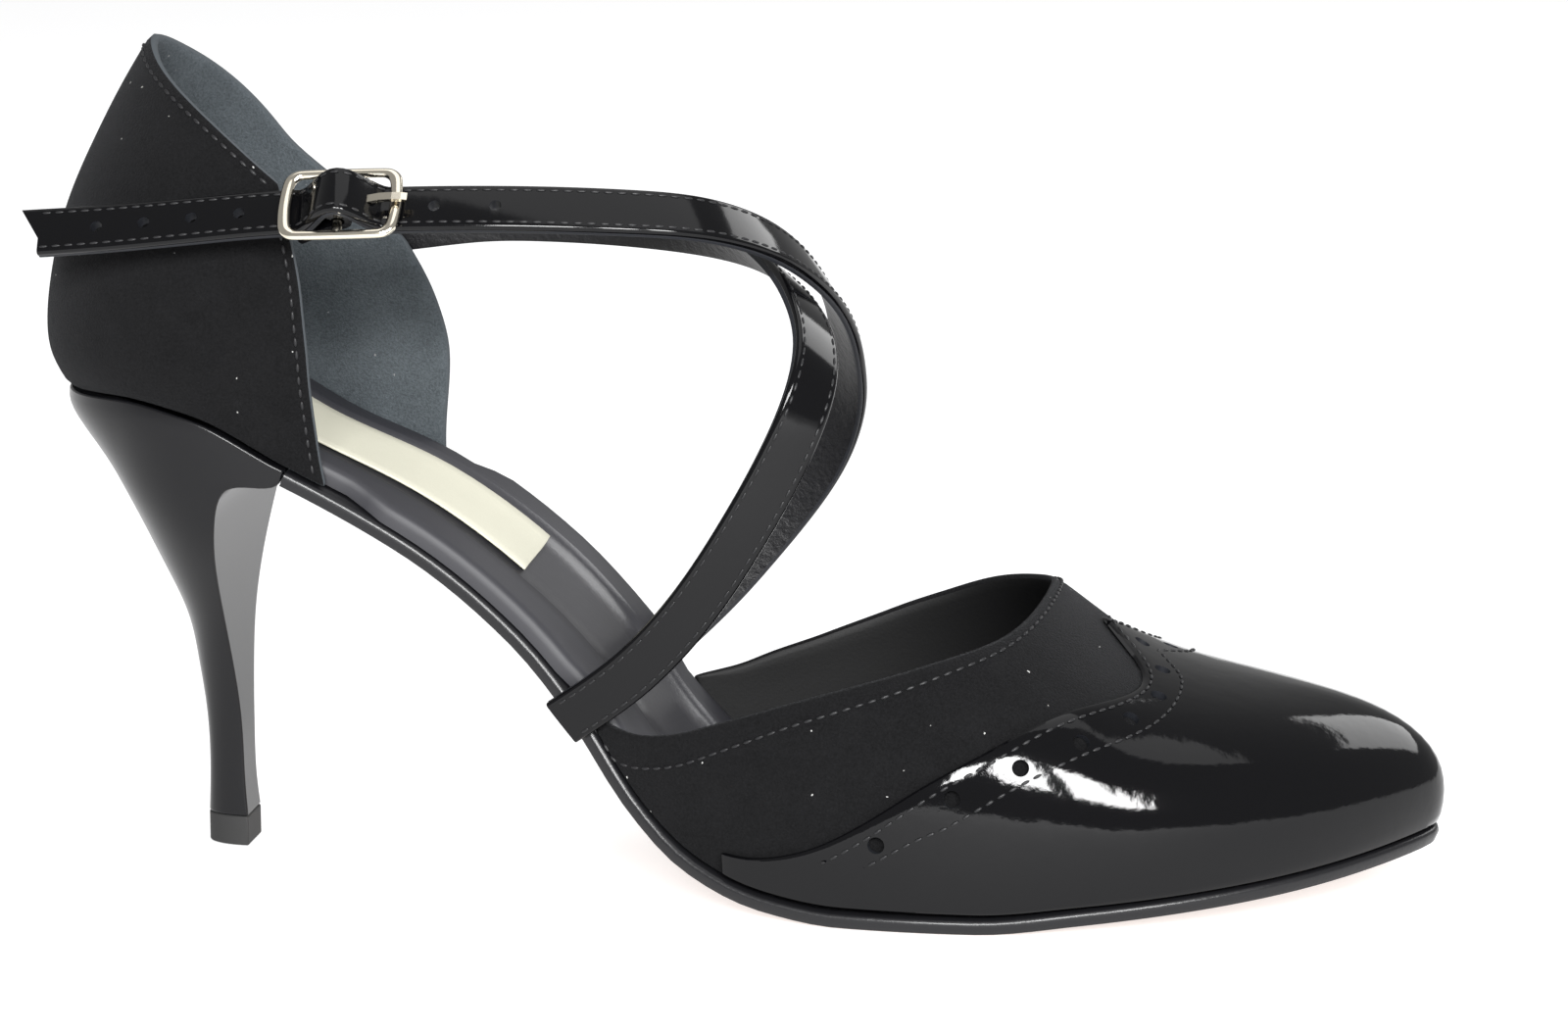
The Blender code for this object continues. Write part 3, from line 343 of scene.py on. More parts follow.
def steady(knots, values):
    """Cubic curve that never overshoots its values, for stretches that have to stay flat."""
    knots = np.asarray(knots, dtype=float)
    values = np.asarray(values, dtype=float)
    steps = np.diff(knots)
    slopes = np.diff(values) / steps
    tangents = np.zeros(len(knots))
    for i in range(1, len(knots) - 1):
        if slopes[i - 1] * slopes[i] > 0.0:
            w1 = 2.0 * steps[i] + steps[i - 1]
            w2 = steps[i] + 2.0 * steps[i - 1]
            tangents[i] = (w1 + w2) / (w1 / slopes[i - 1] + w2 / slopes[i])
    tangents[-1] = slopes[-1]

    def curve(x):
        x = np.asarray(x, dtype=float)
        i = np.clip(np.searchsorted(knots, x) - 1, 0, len(knots) - 2)
        h = steps[i]
        s = (x - knots[i]) / h
        rise = (3.0 - 2.0 * s) * s * s
        start = s * (1.0 - s) ** 2 * h * tangents[i]
        end = (s - 1.0) * s * s * h * tangents[i + 1]
        return values[i] * (1.0 - rise) + values[i + 1] * rise + start + end

    return curve


def ease(value, low, high):
    """Share that goes smoothly from 0 at low to 1 at high."""
    share = min(max((value - low) / (high - low), 0.0), 1.0)
    return share * share * (3.0 - 2.0 * share)


# The last

ARCH = steady(column(BED, 0), column(BED, 1))
SPRING = steady(column(BED, 0), column(BED, 2))
LIFT = steady(column(BED, 0), column(BED, 3))
RIDGE_LINE = spline(column(RIDGE, 0), column(RIDGE, 1))


def plan_ways():
    """Distance along the plan's outline at each row, as a share of the whole."""
    chords = []
    for here, there in zip(PLAN, PLAN[1:]):
        run = (there[0] - here[0]) * LENGTH
        outer = math.hypot(run, (there[1] - here[1]) * BALL_WIDTH)
        inner = math.hypot(run, (there[2] - here[2]) * BALL_WIDTH)
        chords.append(0.5 * (outer + inner))
    ways = np.concatenate(([0.0], np.cumsum(chords)))
    return ways / ways[-1]


WAYS = plan_ways()
PLAN_STATION = spline(WAYS, column(PLAN, 0), flat_start=True, flat_end=True)
PLAN_SIDE = {-1: spline(WAYS, column(PLAN, 1)), 1: spline(WAYS, column(PLAN, 2))}
FINE_WAYS = np.linspace(0.0, 1.0, 801)
FINE_STATIONS = PLAN_STATION(FINE_WAYS)

SPINE_BACK = 0.080
SPINE_FRONT = 0.905
FAN_BACK = 0.180
FAN_FRONT = 0.740


def way_at(station):
    """Way along the outline at which it reaches a station."""
    return float(np.interp(station, FINE_STATIONS, FINE_WAYS))


def outline(way, side, inset=0.0):
    """Point of the feather line in plan, drawn inwards by the inset."""
    step = 0.002
    low = max(way - step, 0.0)
    high = min(way + step, 1.0)
    here = Vector((PLAN_STATION(way) * LENGTH, side * PLAN_SIDE[side](way) * BALL_WIDTH))
    if inset == 0.0:
        return here
    run = Vector((PLAN_STATION(high) - PLAN_STATION(low), 0.0)) * LENGTH
    run.y = side * (PLAN_SIDE[side](high) - PLAN_SIDE[side](low)) * BALL_WIDTH
    if way <= 0.0 or way >= 1.0:
        run = Vector((0.0, side if way <= 0.0 else -side))
    run.normalize()
    inward = Vector((run.y, -run.x)) * side
    return here + inward * inset


def spine_station(station):
    """Station of the spine point that a rib starts from; ribs fan out at both ends."""
    if station > FAN_FRONT:
        share = (station - FAN_FRONT) / (1.0 - FAN_FRONT)
        return station - (1.0 - SPINE_FRONT) * share * share
    if station < FAN_BACK:
        share = (FAN_BACK - station) / FAN_BACK
        return station + SPINE_BACK * share * share
    return station


def spine(way):
    """Spine point in plan for the ribs at this way."""
    station = spine_station(float(PLAN_STATION(way)))
    swing = RIDGE_SWING * ease(station, 0.25, 0.65)
    return Vector((station * LENGTH, swing))


def bed_height(x):
    station = x / LENGTH
    arch = (SEAT_HEIGHT - OUTSOLE_THICKNESS) * ARCH(station)
    return float(OUTSOLE_THICKNESS + arch + TOE_SPRING * SPRING(station))


def bed_slope(x):
    step = 0.2 * MM
    return (bed_height(x + step) - bed_height(x - step)) / (2.0 * step)


def bed_lift(x, across):
    """How far the arch rises on the inner side and falls on the outer side."""
    return ARCH_LIFT * float(LIFT(x / LENGTH)) * (0.1 * across + 0.4 * across ** 3)


def bed(x, across, offset=0.0):
    """Place on the bed at a signed share across, moved along its slope's normal by an offset."""
    slope = bed_slope(x)
    length = math.hypot(1.0, slope)
    return x - slope / length * offset, bed_height(x) + bed_lift(x, across) + offset / length


def bed_under(x, across, gap):
    """Height above a place in plan at which an edge clears the bed by a gap."""
    return bed_height(x) + bed_lift(x, across) + gap * math.hypot(1.0, bed_slope(x))


RIB_WAYS = column(RIBS, 0)[::-1]
RIB_CURVES = [spline(RIB_WAYS, column(RIBS, i)[::-1], flat_start=i % 2 == 0) for i in range(1, 5)]


def skin(way, side, rib_way):
    """Point of the upper's outer face on one rib, from the feather line at 1 to the ridge at 0."""
    foot = outline(way, side)
    top = spine(way)
    blend = ease(top.x / LENGTH, 0.60, 0.84)
    reach, rise, toe_reach, toe_rise = (float(curve(rib_way)) for curve in RIB_CURVES)
    reach += (toe_reach - reach) * blend
    rise += (toe_rise - rise) * blend
    plan = top.lerp(foot, reach)
    base = bed_under(foot.x, side, FIT)
    ridge = float(RIDGE_LINE(plan.x / LENGTH)) * THROAT_HEIGHT
    return Vector((plan.x, plan.y, base + (ridge - base) * rise))


# Upper

SPINE_WAYS = np.linspace(way_at(0.3), 1.0, 401)
SPINE_POINTS = np.array([spine(way) for way in SPINE_WAYS])
FOOT_POINTS = {side: np.array([outline(way, side) for way in SPINE_WAYS]) for side in (-1, 1)}


def laid_flat(way, side, rib_way):
    """Place in plan of a point laid flat along its rib."""
    return spine(way).lerp(outline(way, side), rib_way)


def rib_through(point):
    """Way, side and way down the rib of the rib that passes through a flat point."""
    toe = FOOT_POINTS[1][-1]
    middle = np.interp(point.x, np.append(SPINE_POINTS[:, 0], toe[0]), np.append(SPINE_POINTS[:, 1], toe[1]))
    side = 1 if point.y > middle else -1
    run = FOOT_POINTS[side] - SPINE_POINTS
    aim = np.array(point) - SPINE_POINTS
    turn = (run[:, 0] * aim[:, 1] - run[:, 1] * aim[:, 0]) * side
    i = int(np.argmax(turn >= 0.0)) if np.any(turn >= 0.0) else len(turn) - 1
    i = max(i, 1)
    share = turn[i - 1] / (turn[i - 1] - turn[i]) if turn[i] > turn[i - 1] else 1.0
    way = float(SPINE_WAYS[i - 1] + min(max(share, 0.0), 1.0) * (SPINE_WAYS[i] - SPINE_WAYS[i - 1]))
    base = spine(way)
    length = (outline(way, side) - base).length
    return way, side, min((point - base).length / length, 1.0)


def skin_at(point):
    """Point of the upper's outer face over a flat point."""
    way, side, rib_way = rib_through(point)
    return skin(way, side, rib_way)


def edge_line(edge, per_row, corner=False):
    """Flat points along an edge table, from its outer rear end round to its inner rear end."""
    steps = np.arange(len(edge), dtype=float)
    fine = np.linspace(0.0, len(edge) - 1.0, per_row * (len(edge) - 1) + 1)
    halves = []
    for side, first in ((-1, 0), (1, 2)):
        stations = spline(steps, column(edge, first), flat_end=not corner)(fine)
        ways = spline(steps, column(edge, first + 1))(fine)
        halves.append([laid_flat(way_at(s), side, max(w, 0.0)) for s, w in zip(stations, ways)])
    return halves[0] + halves[1][-2::-1]


def toward_toe(points, count, from_rear):
    """The same line with its points set closer together towards the toe."""
    gaps = [0.0] + [(b - a).length for a, b in zip(points, points[1:])]
    runs = np.cumsum(gaps)
    shares = np.linspace(1.0, 0.0, count) ** 1.25
    marks = runs[-1] * (1.0 - shares if from_rear else shares[::-1])
    xs = np.interp(marks, runs, [p.x for p in points])
    ys = np.interp(marks, runs, [p.y for p in points])
    return [Vector((x, y)) for x, y in zip(xs, ys)]


def upper_rows(edge, along, across, foot=1.0, corner=False):
    """Rows of skin points from the feather line up to an edge, round the toe."""
    top = edge_line(edge, 8, corner)
    start, end = (way_at(edge[0][0]), way_at(edge[0][2]))
    outer = [laid_flat(way, -1, foot) for way in np.linspace(start, 1.0, 200)]
    inner = [laid_flat(way, 1, foot) for way in np.linspace(1.0, end, 200)]
    outer_top = top[:len(top) // 2 + 1]
    inner_top = top[len(top) // 2:]
    half = along // 2
    feet = toward_toe(outer, half + 1, True) + toward_toe(inner, half + 1, False)[1:]
    tops = toward_toe(outer_top, half + 1, True) + toward_toe(inner_top, half + 1, False)[1:]
    shares = [1.0 - (1.0 - i / across) ** 0.85 for i in range(across + 1)]
    return [[skin_at(low.lerp(high, share)) for share in shares] for low, high in zip(feet, tops)]


# Counter

LEAN = spline(column(COUNTER_LEVELS, 0), column(COUNTER_LEVELS, 1))
SPREAD = spline(column(COUNTER_LEVELS, 0), column(COUNTER_LEVELS, 2))
FRONT = {-1: spline(column(COUNTER_FRONT, 0), column(COUNTER_FRONT, 1)),
         1: spline(column(COUNTER_FRONT, 0), column(COUNTER_FRONT, 2))}
TOP = {-1: spline(column(COUNTER_TOP, 0), column(COUNTER_TOP, 1)),
       1: spline(column(COUNTER_TOP, 0), column(COUNTER_TOP, 2))}


def counter_plan(side, around, height):
    """Plan point of the counter's outer face at a way round from the back and a height."""
    level = (height - SEAT_HEIGHT) / COUNTER_RISE
    lean = float(LEAN(level)) * COUNTER_RISE
    front = float(FRONT[side](min(level, COUNTER_FRONT[-1][0]))) * LENGTH
    way = around * way_at((front - lean) / LENGTH)
    point = outline(way, side)
    return Vector((point.x + lean, point.y * float(SPREAD(level))))


def counter_point(side, around, share):
    """Point of the counter's outer face, from its bottom edge at 0 to its top edge at 1."""
    low = counter_plan(side, around, SEAT_HEIGHT)
    bottom = bed_under(low.x, side, FIT)
    low = counter_plan(side, around, bottom)
    bottom = bed_under(low.x, side, FIT)
    top = SEAT_HEIGHT + float(TOP[side](around)) * COUNTER_RISE
    height = bottom + (top - bottom) * share
    plan = counter_plan(side, around, height)
    return Vector((plan.x, plan.y, height))


# Sole

def plate_row(way, columns, inset, low, belly):
    """Ring of a plate at one way: its top from outer to inner edge, then its underside back."""
    middle = spine(way)
    halves = {}
    for side in (-1, 1):
        top_edge = outline(way, side, inset(way, side))
        low_edge = outline(way, side, inset(way, side) + belly)
        full = (outline(way, side) - middle).length
        top = []
        under = []
        for share, level in columns(way, side):
            for edge, height, points in ((top_edge, level, top), (low_edge, low, under)):
                plan = middle.lerp(edge, share)
                across = side * share * (edge - middle).length / full
                x, z = bed(plan.x, across, height)
                points.append(Vector((x, plan.y, z)))
        halves[side] = (top, under)
    top = halves[-1][0] + halves[1][0][-2::-1]
    under = halves[-1][1] + halves[1][1][-2::-1]
    return top + under[::-1]


def sole_inset(way, side):
    """The outsole stands out past the upper in front and is flush at the waist."""
    return -(0.25 * WELT_REACH + 0.75 * WELT_REACH * ease(float(PLAN_STATION(way)), 0.42, 0.53))


def insole_inset(way, side):
    """The insole fits inside the counter and the vamp and fills the bare waist."""
    station = float(PLAN_STATION(way))
    column_index = 1 if side < 0 else 2
    counter_front = COUNTER_FRONT[1][column_index]
    vamp_rear = TOPLINE[0][0 if side < 0 else 2]
    inside_counter = 1.0 - ease(station, counter_front + 0.018, counter_front + 0.036)
    inside_vamp = ease(station, vamp_rear - 0.034, vamp_rear - 0.014)
    return FIT + (COUNTER_WALL + 2.0 * FIT) * inside_counter + (VAMP_WALL + FIT) * inside_vamp


# Heel

def heel_section(row, count, z):
    """One level ring: breast from outer to inner corner, then round the back."""
    back, front, half = row[1:]
    depth = TIP_FRONT - TIP_BACK
    x_back = TIP_BACK + back * depth
    x_front = TIP_BACK + front * depth
    wide = half * SEAT_WIDTH
    ring = [Vector((x_front, wide * y, z)) for y in (-1.0, -0.5, 0.0, 0.5)]
    for i in range(count):
        turn = math.pi * i / count
        x = x_front - (x_front - x_back) * math.sin(turn) ** 0.9
        ring.append(Vector((x, wide * math.cos(turn), z)))
    return ring


def heel_rim(count, offset):
    """Ring where the heel meets counter and insole, up on the bed."""
    front = way_at((BREAST_STATION - FIT) / LENGTH)
    ring = []
    for across in (-1.0, -0.5, 0.0, 0.5):
        side = -1 if across < 0.0 else 1
        edge = outline(front, side, 0.0)
        x, z = bed(edge.x, across, offset)
        ring.append(Vector((x, edge.y * abs(across), z)))
    for i in range(count):
        share = 1.0 - 2.0 * i / count
        side = 1 if share >= 0.0 else -1
        edge = outline(front * abs(share), side, 0.0)
        x, z = bed(edge.x, side, offset)
        ring.append(Vector((x, edge.y, z)))
    return ring


# Straps

def strap_frames(table, spacing):
    """Evenly spaced frames along a strap: center, direction, breadth and outward face."""
    centers, runs = strap_runs(table)
    curves = [spline(runs, centers[:, axis]) for axis in range(3)]
    turn = spline(runs, column(table, 3))
    tilt = spline(runs, column(table, 4))
    marks = spacing(runs[-1])
    frames = []
    for mark in marks:
        here = Vector([float(curve(mark)) for curve in curves])
        ahead = Vector([float(curve(mark + 0.2 * MM) - curve(mark - 0.2 * MM)) for curve in curves])
        ahead.normalize()
        azimuth = math.radians(float(turn(mark)))
        rise = math.radians(float(tilt(mark)))
        level = math.cos(rise)
        face = Vector((math.cos(azimuth) * level, math.sin(azimuth) * level, math.sin(rise)))
        face = (face - ahead * face.dot(ahead)).normalized()
        frames.append((here, ahead, face.cross(ahead), face))
    return frames


def strap_runs(table):
    """Centers of a strap table and the distance along the strap at each."""
    centers = np.array([(r[0] * LENGTH, r[1] * BALL_WIDTH, r[2] * SEAT_HEIGHT) for r in table])
    runs = np.concatenate(([0.0], np.cumsum(np.linalg.norm(np.diff(centers, axis=0), axis=1))))
    return centers, runs


def buckle_mark():
    """Distance along the strap at which it passes the middle of the buckle."""
    outer = BUCKLE_STRAP.index(min(BUCKLE_STRAP, key=lambda row: row[1]))
    runs = strap_runs(BUCKLE_STRAP)[1]
    return float(np.interp(-BUCKLE_STATION, -column(BUCKLE_STRAP, 0)[outer - 3:], runs[outer - 3:]))


def buckle_axes():
    """Middle of the buckle in the plane of its frame, and its axes: ahead, up and out."""
    mark = buckle_mark()
    center, back, rise, out = strap_frames(BUCKLE_STRAP, lambda length: [mark])[0]
    lift = 0.5 * STRAP_THICKNESS + FIT + 0.5 * BUCKLE_THICKNESS
    return center + out * lift, -back, back.cross(out), out


BUCKLE_MIDDLE, BUCKLE_AHEAD, BUCKLE_RISE, BUCKLE_OUT = buckle_axes()


def at_buckle(along, up, out):
    return BUCKLE_MIDDLE + BUCKLE_AHEAD * along + BUCKLE_RISE * up + BUCKLE_OUT * out


def buckle_wave(along):
    """How far the strap swells out over the buckle's bar."""
    reach = 0.5 * BUCKLE_LENGTH - BUCKLE_SIDE - BUCKLE_BOW
    if abs(along) >= reach:
        return 0.0
    return BUCKLE_SWELL * math.cos(0.5 * math.pi * along / reach) ** 2


def frame_loop(half_length, half_height, corner):
    """Loop of a rounded oblong whose short sides bow out, as along and up."""
    loop = []
    for x_sign, y_sign, start in ((1, 1, 0.0), (-1, 1, 90.0), (-1, -1, 180.0), (1, -1, 270.0)):
        for i in range(5):
            angle = math.radians(start + 22.5 * i)
            x = x_sign * (half_length - corner) + corner * math.cos(angle)
            y = y_sign * (half_height - corner) + corner * math.sin(angle)
            loop.append((x - x_sign * BUCKLE_BOW * (y / half_height) ** 2, y))
        if y_sign > 0 and x_sign < 0:
            loop.append((-half_length, 0.0))
    loop.append((half_length, 0.0))
    return loop


def arc(radius, start, end, count):
    angles = [math.radians(start + (end - start) * i / count) for i in range(count + 1)]
    return [(radius * math.cos(a), radius * math.sin(a)) for a in angles]



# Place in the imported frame

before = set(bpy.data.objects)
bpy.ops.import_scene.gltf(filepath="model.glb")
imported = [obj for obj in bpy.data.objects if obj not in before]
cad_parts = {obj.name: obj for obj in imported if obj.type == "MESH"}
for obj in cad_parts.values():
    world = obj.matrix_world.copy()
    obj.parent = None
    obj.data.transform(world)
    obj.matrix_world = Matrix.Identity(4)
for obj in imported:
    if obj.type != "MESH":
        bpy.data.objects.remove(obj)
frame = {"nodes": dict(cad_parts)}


def shift_to_frame():
    """Move from the last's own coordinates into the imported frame, read off the top piece."""
    low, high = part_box("top_piece")
    return Vector((low.x - TIP_BACK, 0.5 * (low.y + high.y), 0.0))


SHIFT = shift_to_frame()

# Second stitch row of the wing cap, from its outer rear end to the ridge
WING_ROW = (
    # station, way
    (0.566, 0.962),
    (0.591, 0.945),
    (0.620, 0.901),
    (0.655, 0.838),
    (0.677, 0.798),
    (0.716, 0.698),
    (0.749, 0.606),
    (0.778, 0.511),
    (0.808, 0.404),
    (0.824, 0.285),
    (0.828, 0.170),
    (0.821, 0.090),
    (0.805, 0.000),
)

# Punched holes of the wing cap, outer side first
WING_HOLES = (
    # station, way, side
    (0.577, 0.940, -1),
    (0.622, 0.869, -1),
    (0.674, 0.752, -1),
    (0.720, 0.646, -1),
    (0.759, 0.536, -1),
    (0.791, 0.405, -1),
    (0.810, 0.280, -1),
    (0.811, 0.130, -1),
    (0.790, 0.000, 1),
    (0.811, 0.130, 1),
    (0.808, 0.270, 1),
    (0.791, 0.400, 1),
    (0.759, 0.536, 1),
    (0.720, 0.646, 1),
    (0.674, 0.752, 1),
    (0.622, 0.869, 1),
    (0.577, 0.940, 1),
)

# Holes of the buckle strap: distance ahead of the buckle's middle
STRAP_HOLES = (-39.5, -32.0, -24.3, -16.5, 14.8, 24.0)

# Plain strip in the channel: its rear end, and its width
STRIP_START = 0.150
STRIP_WIDTH = 20.0 * MM


# Shader nodes

def new_finish(name, color, roughness, **extra):
    """Material with a principled shader set to plain values, and its node tree."""
    finish = bpy.data.materials.new(name)
    finish.use_nodes = True
    tree = finish.node_tree
    shader = tree.nodes["Principled BSDF"]
    shader.inputs["Base Color"].default_value = (*color, 1.0)
    shader.inputs["Roughness"].default_value = roughness
    for key, value in extra.items():
        shader.inputs[key.replace("_", " ")].default_value = value
    return finish, tree, shader


def node(tree, kind, **settings):
    made = tree.nodes.new(kind)
    for key, value in settings.items():
        if key in made.inputs:
            made.inputs[key].default_value = value
        else:
            setattr(made, key, value)
    return made


def group_tree(name, inputs, outputs):
    """Empty shader group with its sockets, and its input and output nodes."""
    tree = bpy.data.node_groups.new(name, "ShaderNodeTree")
    for label, kind, value in inputs:
        socket = tree.interface.new_socket(label, in_out="INPUT", socket_type=kind)
        if value is not None:
            socket.default_value = value
    for label, kind in outputs:
        tree.interface.new_socket(label, in_out="OUTPUT", socket_type=kind)
    return tree, tree.nodes.new("NodeGroupInput"), tree.nodes.new("NodeGroupOutput")


def grain_group():
    """Height of a fine grain over slow undulation, both in object space."""
    known = bpy.data.node_groups.get("grain")
    if known:
        return known
    inputs = (("Fine Scale", "NodeSocketFloat", 900.0), ("Slow Scale", "NodeSocketFloat", 90.0),
              ("Slow Share", "NodeSocketFloat", 0.5))
    tree, given, result = group_tree("grain", inputs, (("Height", "NodeSocketFloat"),))
    place = node(tree, "ShaderNodeTexCoord")
    fine = node(tree, "ShaderNodeTexNoise", Detail=4.0, Roughness=0.6)
    slow = node(tree, "ShaderNodeTexNoise", Detail=2.0, Roughness=0.5)
    mix = node(tree, "ShaderNodeMix", data_type="FLOAT")
    link = tree.links.new
    link(place.outputs["Object"], fine.inputs["Vector"])
    link(place.outputs["Object"], slow.inputs["Vector"])
    link(given.outputs["Fine Scale"], fine.inputs["Scale"])
    link(given.outputs["Slow Scale"], slow.inputs["Scale"])
    link(given.outputs["Slow Share"], mix.inputs["Factor"])
    link(fine.outputs["Fac"], mix.inputs["A"])
    link(slow.outputs["Fac"], mix.inputs["B"])
    link(mix.outputs["Result"], result.inputs["Height"])
    return tree


def nap_group():
    """Color and height of a short nap, with lint caught in it."""
    known = bpy.data.node_groups.get("nap")
    if known:
        return known
    inputs = (("Dark", "NodeSocketColor", (0.003, 0.003, 0.0035, 1.0)),
              ("Light", "NodeSocketColor", (0.016, 0.016, 0.018, 1.0)),
              ("Lint", "NodeSocketFloat", 1.0))
    outputs = (("Color", "NodeSocketColor"), ("Height", "NodeSocketFloat"))
    tree, given, result = group_tree("nap", inputs, outputs)
    link = tree.links.new
    place = node(tree, "ShaderNodeTexCoord")
    hair = node(tree, "ShaderNodeTexNoise", Scale=2600.0, Detail=3.0, Roughness=0.7)
    patch = node(tree, "ShaderNodeTexNoise", Scale=170.0, Detail=4.0, Roughness=0.65)
    blend = node(tree, "ShaderNodeMath", operation="MULTIPLY_ADD")
    blend.inputs[1].default_value = 0.35
    ramp = node(tree, "ShaderNodeMapRange")
    ramp.inputs["From Min"].default_value = 0.45
    ramp.inputs["From Max"].default_value = 0.95
    shade = node(tree, "ShaderNodeMix", data_type="RGBA")
    warp = node(tree, "ShaderNodeTexNoise", Scale=900.0, Detail=2.0)
    bent = node(tree, "ShaderNodeVectorMath", operation="MULTIPLY_ADD")
    bent.inputs[1].default_value = (0.0009, 0.0009, 0.0009)
    speck = node(tree, "ShaderNodeTexVoronoi", Scale=330.0)
    near = node(tree, "ShaderNodeMath", operation="LESS_THAN")
    near.inputs[1].default_value = 0.055
    few = node(tree, "ShaderNodeMath", operation="GREATER_THAN")
    few.inputs[1].default_value = 0.62
    split = node(tree, "ShaderNodeSeparateColor")
    both = node(tree, "ShaderNodeMath", operation="MULTIPLY")
    scaled = node(tree, "ShaderNodeMath", operation="MULTIPLY")
    spot = node(tree, "ShaderNodeMix", data_type="RGBA")
    spot.inputs["B"].default_value = (0.34, 0.34, 0.33, 1.0)
    for item in (hair, patch, warp):
        link(place.outputs["Object"], item.inputs["Vector"])
    link(patch.outputs["Fac"], blend.inputs[0])
    link(hair.outputs["Fac"], blend.inputs[2])
    link(blend.outputs["Value"], ramp.inputs["Value"])
    link(ramp.outputs["Result"], shade.inputs["Factor"])
    link(given.outputs["Dark"], shade.inputs["A"])
    link(given.outputs["Light"], shade.inputs["B"])
    link(warp.outputs["Color"], bent.inputs[0])
    link(place.outputs["Object"], bent.inputs[2])
    link(bent.outputs["Vector"], speck.inputs["Vector"])
    link(speck.outputs["Distance"], near.inputs[0])
    link(speck.outputs["Color"], split.inputs["Color"])
    link(split.outputs["Red"], few.inputs[0])
    link(near.outputs["Value"], both.inputs[0])
    link(few.outputs["Value"], both.inputs[1])
    link(both.outputs["Value"], scaled.inputs[0])
    link(given.outputs["Lint"], scaled.inputs[1])
    link(scaled.outputs["Value"], spot.inputs["Factor"])
    link(shade.outputs["Result"], spot.inputs["A"])
    link(spot.outputs["Result"], result.inputs["Color"])
    link(hair.outputs["Fac"], result.inputs["Height"])
    return tree


def add_bump(tree, shader, height, distance, strength=1.0):
    bump = node(tree, "ShaderNodeBump", Strength=strength, Distance=distance)
    tree.links.new(height, bump.inputs["Height"])
    tree.links.new(bump.outputs["Normal"], shader.inputs["Normal"])


def grain_on(tree, shader, fine, slow, share, distance):
    made = tree.nodes.new("ShaderNodeGroup")
    made.node_tree = grain_group()
    made.inputs["Fine Scale"].default_value = fine
    made.inputs["Slow Scale"].default_value = slow
    made.inputs["Slow Share"].default_value = share
    add_bump(tree, shader, made.outputs["Height"], distance)
    return made


def suede(name, dark, light, lint=1.0):
    finish, tree, shader = new_finish(name, dark, 0.95, Sheen_Weight=0.05, Sheen_Roughness=0.45)
    shader.inputs["Sheen Tint"].default_value = (0.55, 0.56, 0.60, 1.0)
    shader.inputs["Specular IOR Level"].default_value = 0.15
    made = tree.nodes.new("ShaderNodeGroup")
    made.node_tree = nap_group()
    made.inputs["Dark"].default_value = (*dark, 1.0)
    made.inputs["Light"].default_value = (*light, 1.0)
    made.inputs["Lint"].default_value = lint
    tree.links.new(made.outputs["Color"], shader.inputs["Base Color"])
    add_bump(tree, shader, made.outputs["Height"], 0.00025)
    return finish


def patent(name, ripple=0.00006, slow=260.0, roughness=0.06):
    finish, tree, shader = new_finish(name, (0.0016, 0.0016, 0.0020), roughness)
    shader.inputs["Specular IOR Level"].default_value = 0.28
    grain_on(tree, shader, 1500.0, slow, 0.86, ripple)
    return finish


def leather(name, color, roughness, fine=1800.0, distance=0.00005, coat=0.0):
    finish, tree, shader = new_finish(name, color, roughness)
    shader.inputs["Specular IOR Level"].default_value = 0.30
    shader.inputs["Coat Weight"].default_value = coat
    shader.inputs["Coat Roughness"].default_value = 0.2
    grain_on(tree, shader, fine, 140.0, 0.35, distance)
    return finish


def lacquer(name, color, roughness):
    finish, tree, shader = new_finish(name, color, roughness)
    shader.inputs["Specular IOR Level"].default_value = 0.28
    grain_on(tree, shader, 700.0, 60.0, 0.9, 0.00003)
    return finish


def metal(name, color, roughness):
    finish, tree, shader = new_finish(name, color, roughness)
    shader.inputs["Metallic"].default_value = 1.0
    grain_on(tree, shader, 3000.0, 200.0, 0.4, 0.00001)
    return finish


def paper(name, color):
    finish, tree, shader = new_finish(name, color, 0.55)
    made = grain_on(tree, shader, 2600.0, 300.0, 0.3, 0.00004)
    shade = node(tree, "ShaderNodeMix", data_type="RGBA")
    shade.inputs["A"].default_value = (*[0.93 * value for value in color], 1.0)
    shade.inputs["B"].default_value = (*[min(1.06 * value, 1.0) for value in color], 1.0)
    tree.links.new(made.outputs["Height"], shade.inputs["Factor"])
    tree.links.new(shade.outputs["Result"], shader.inputs["Base Color"])
    return finish


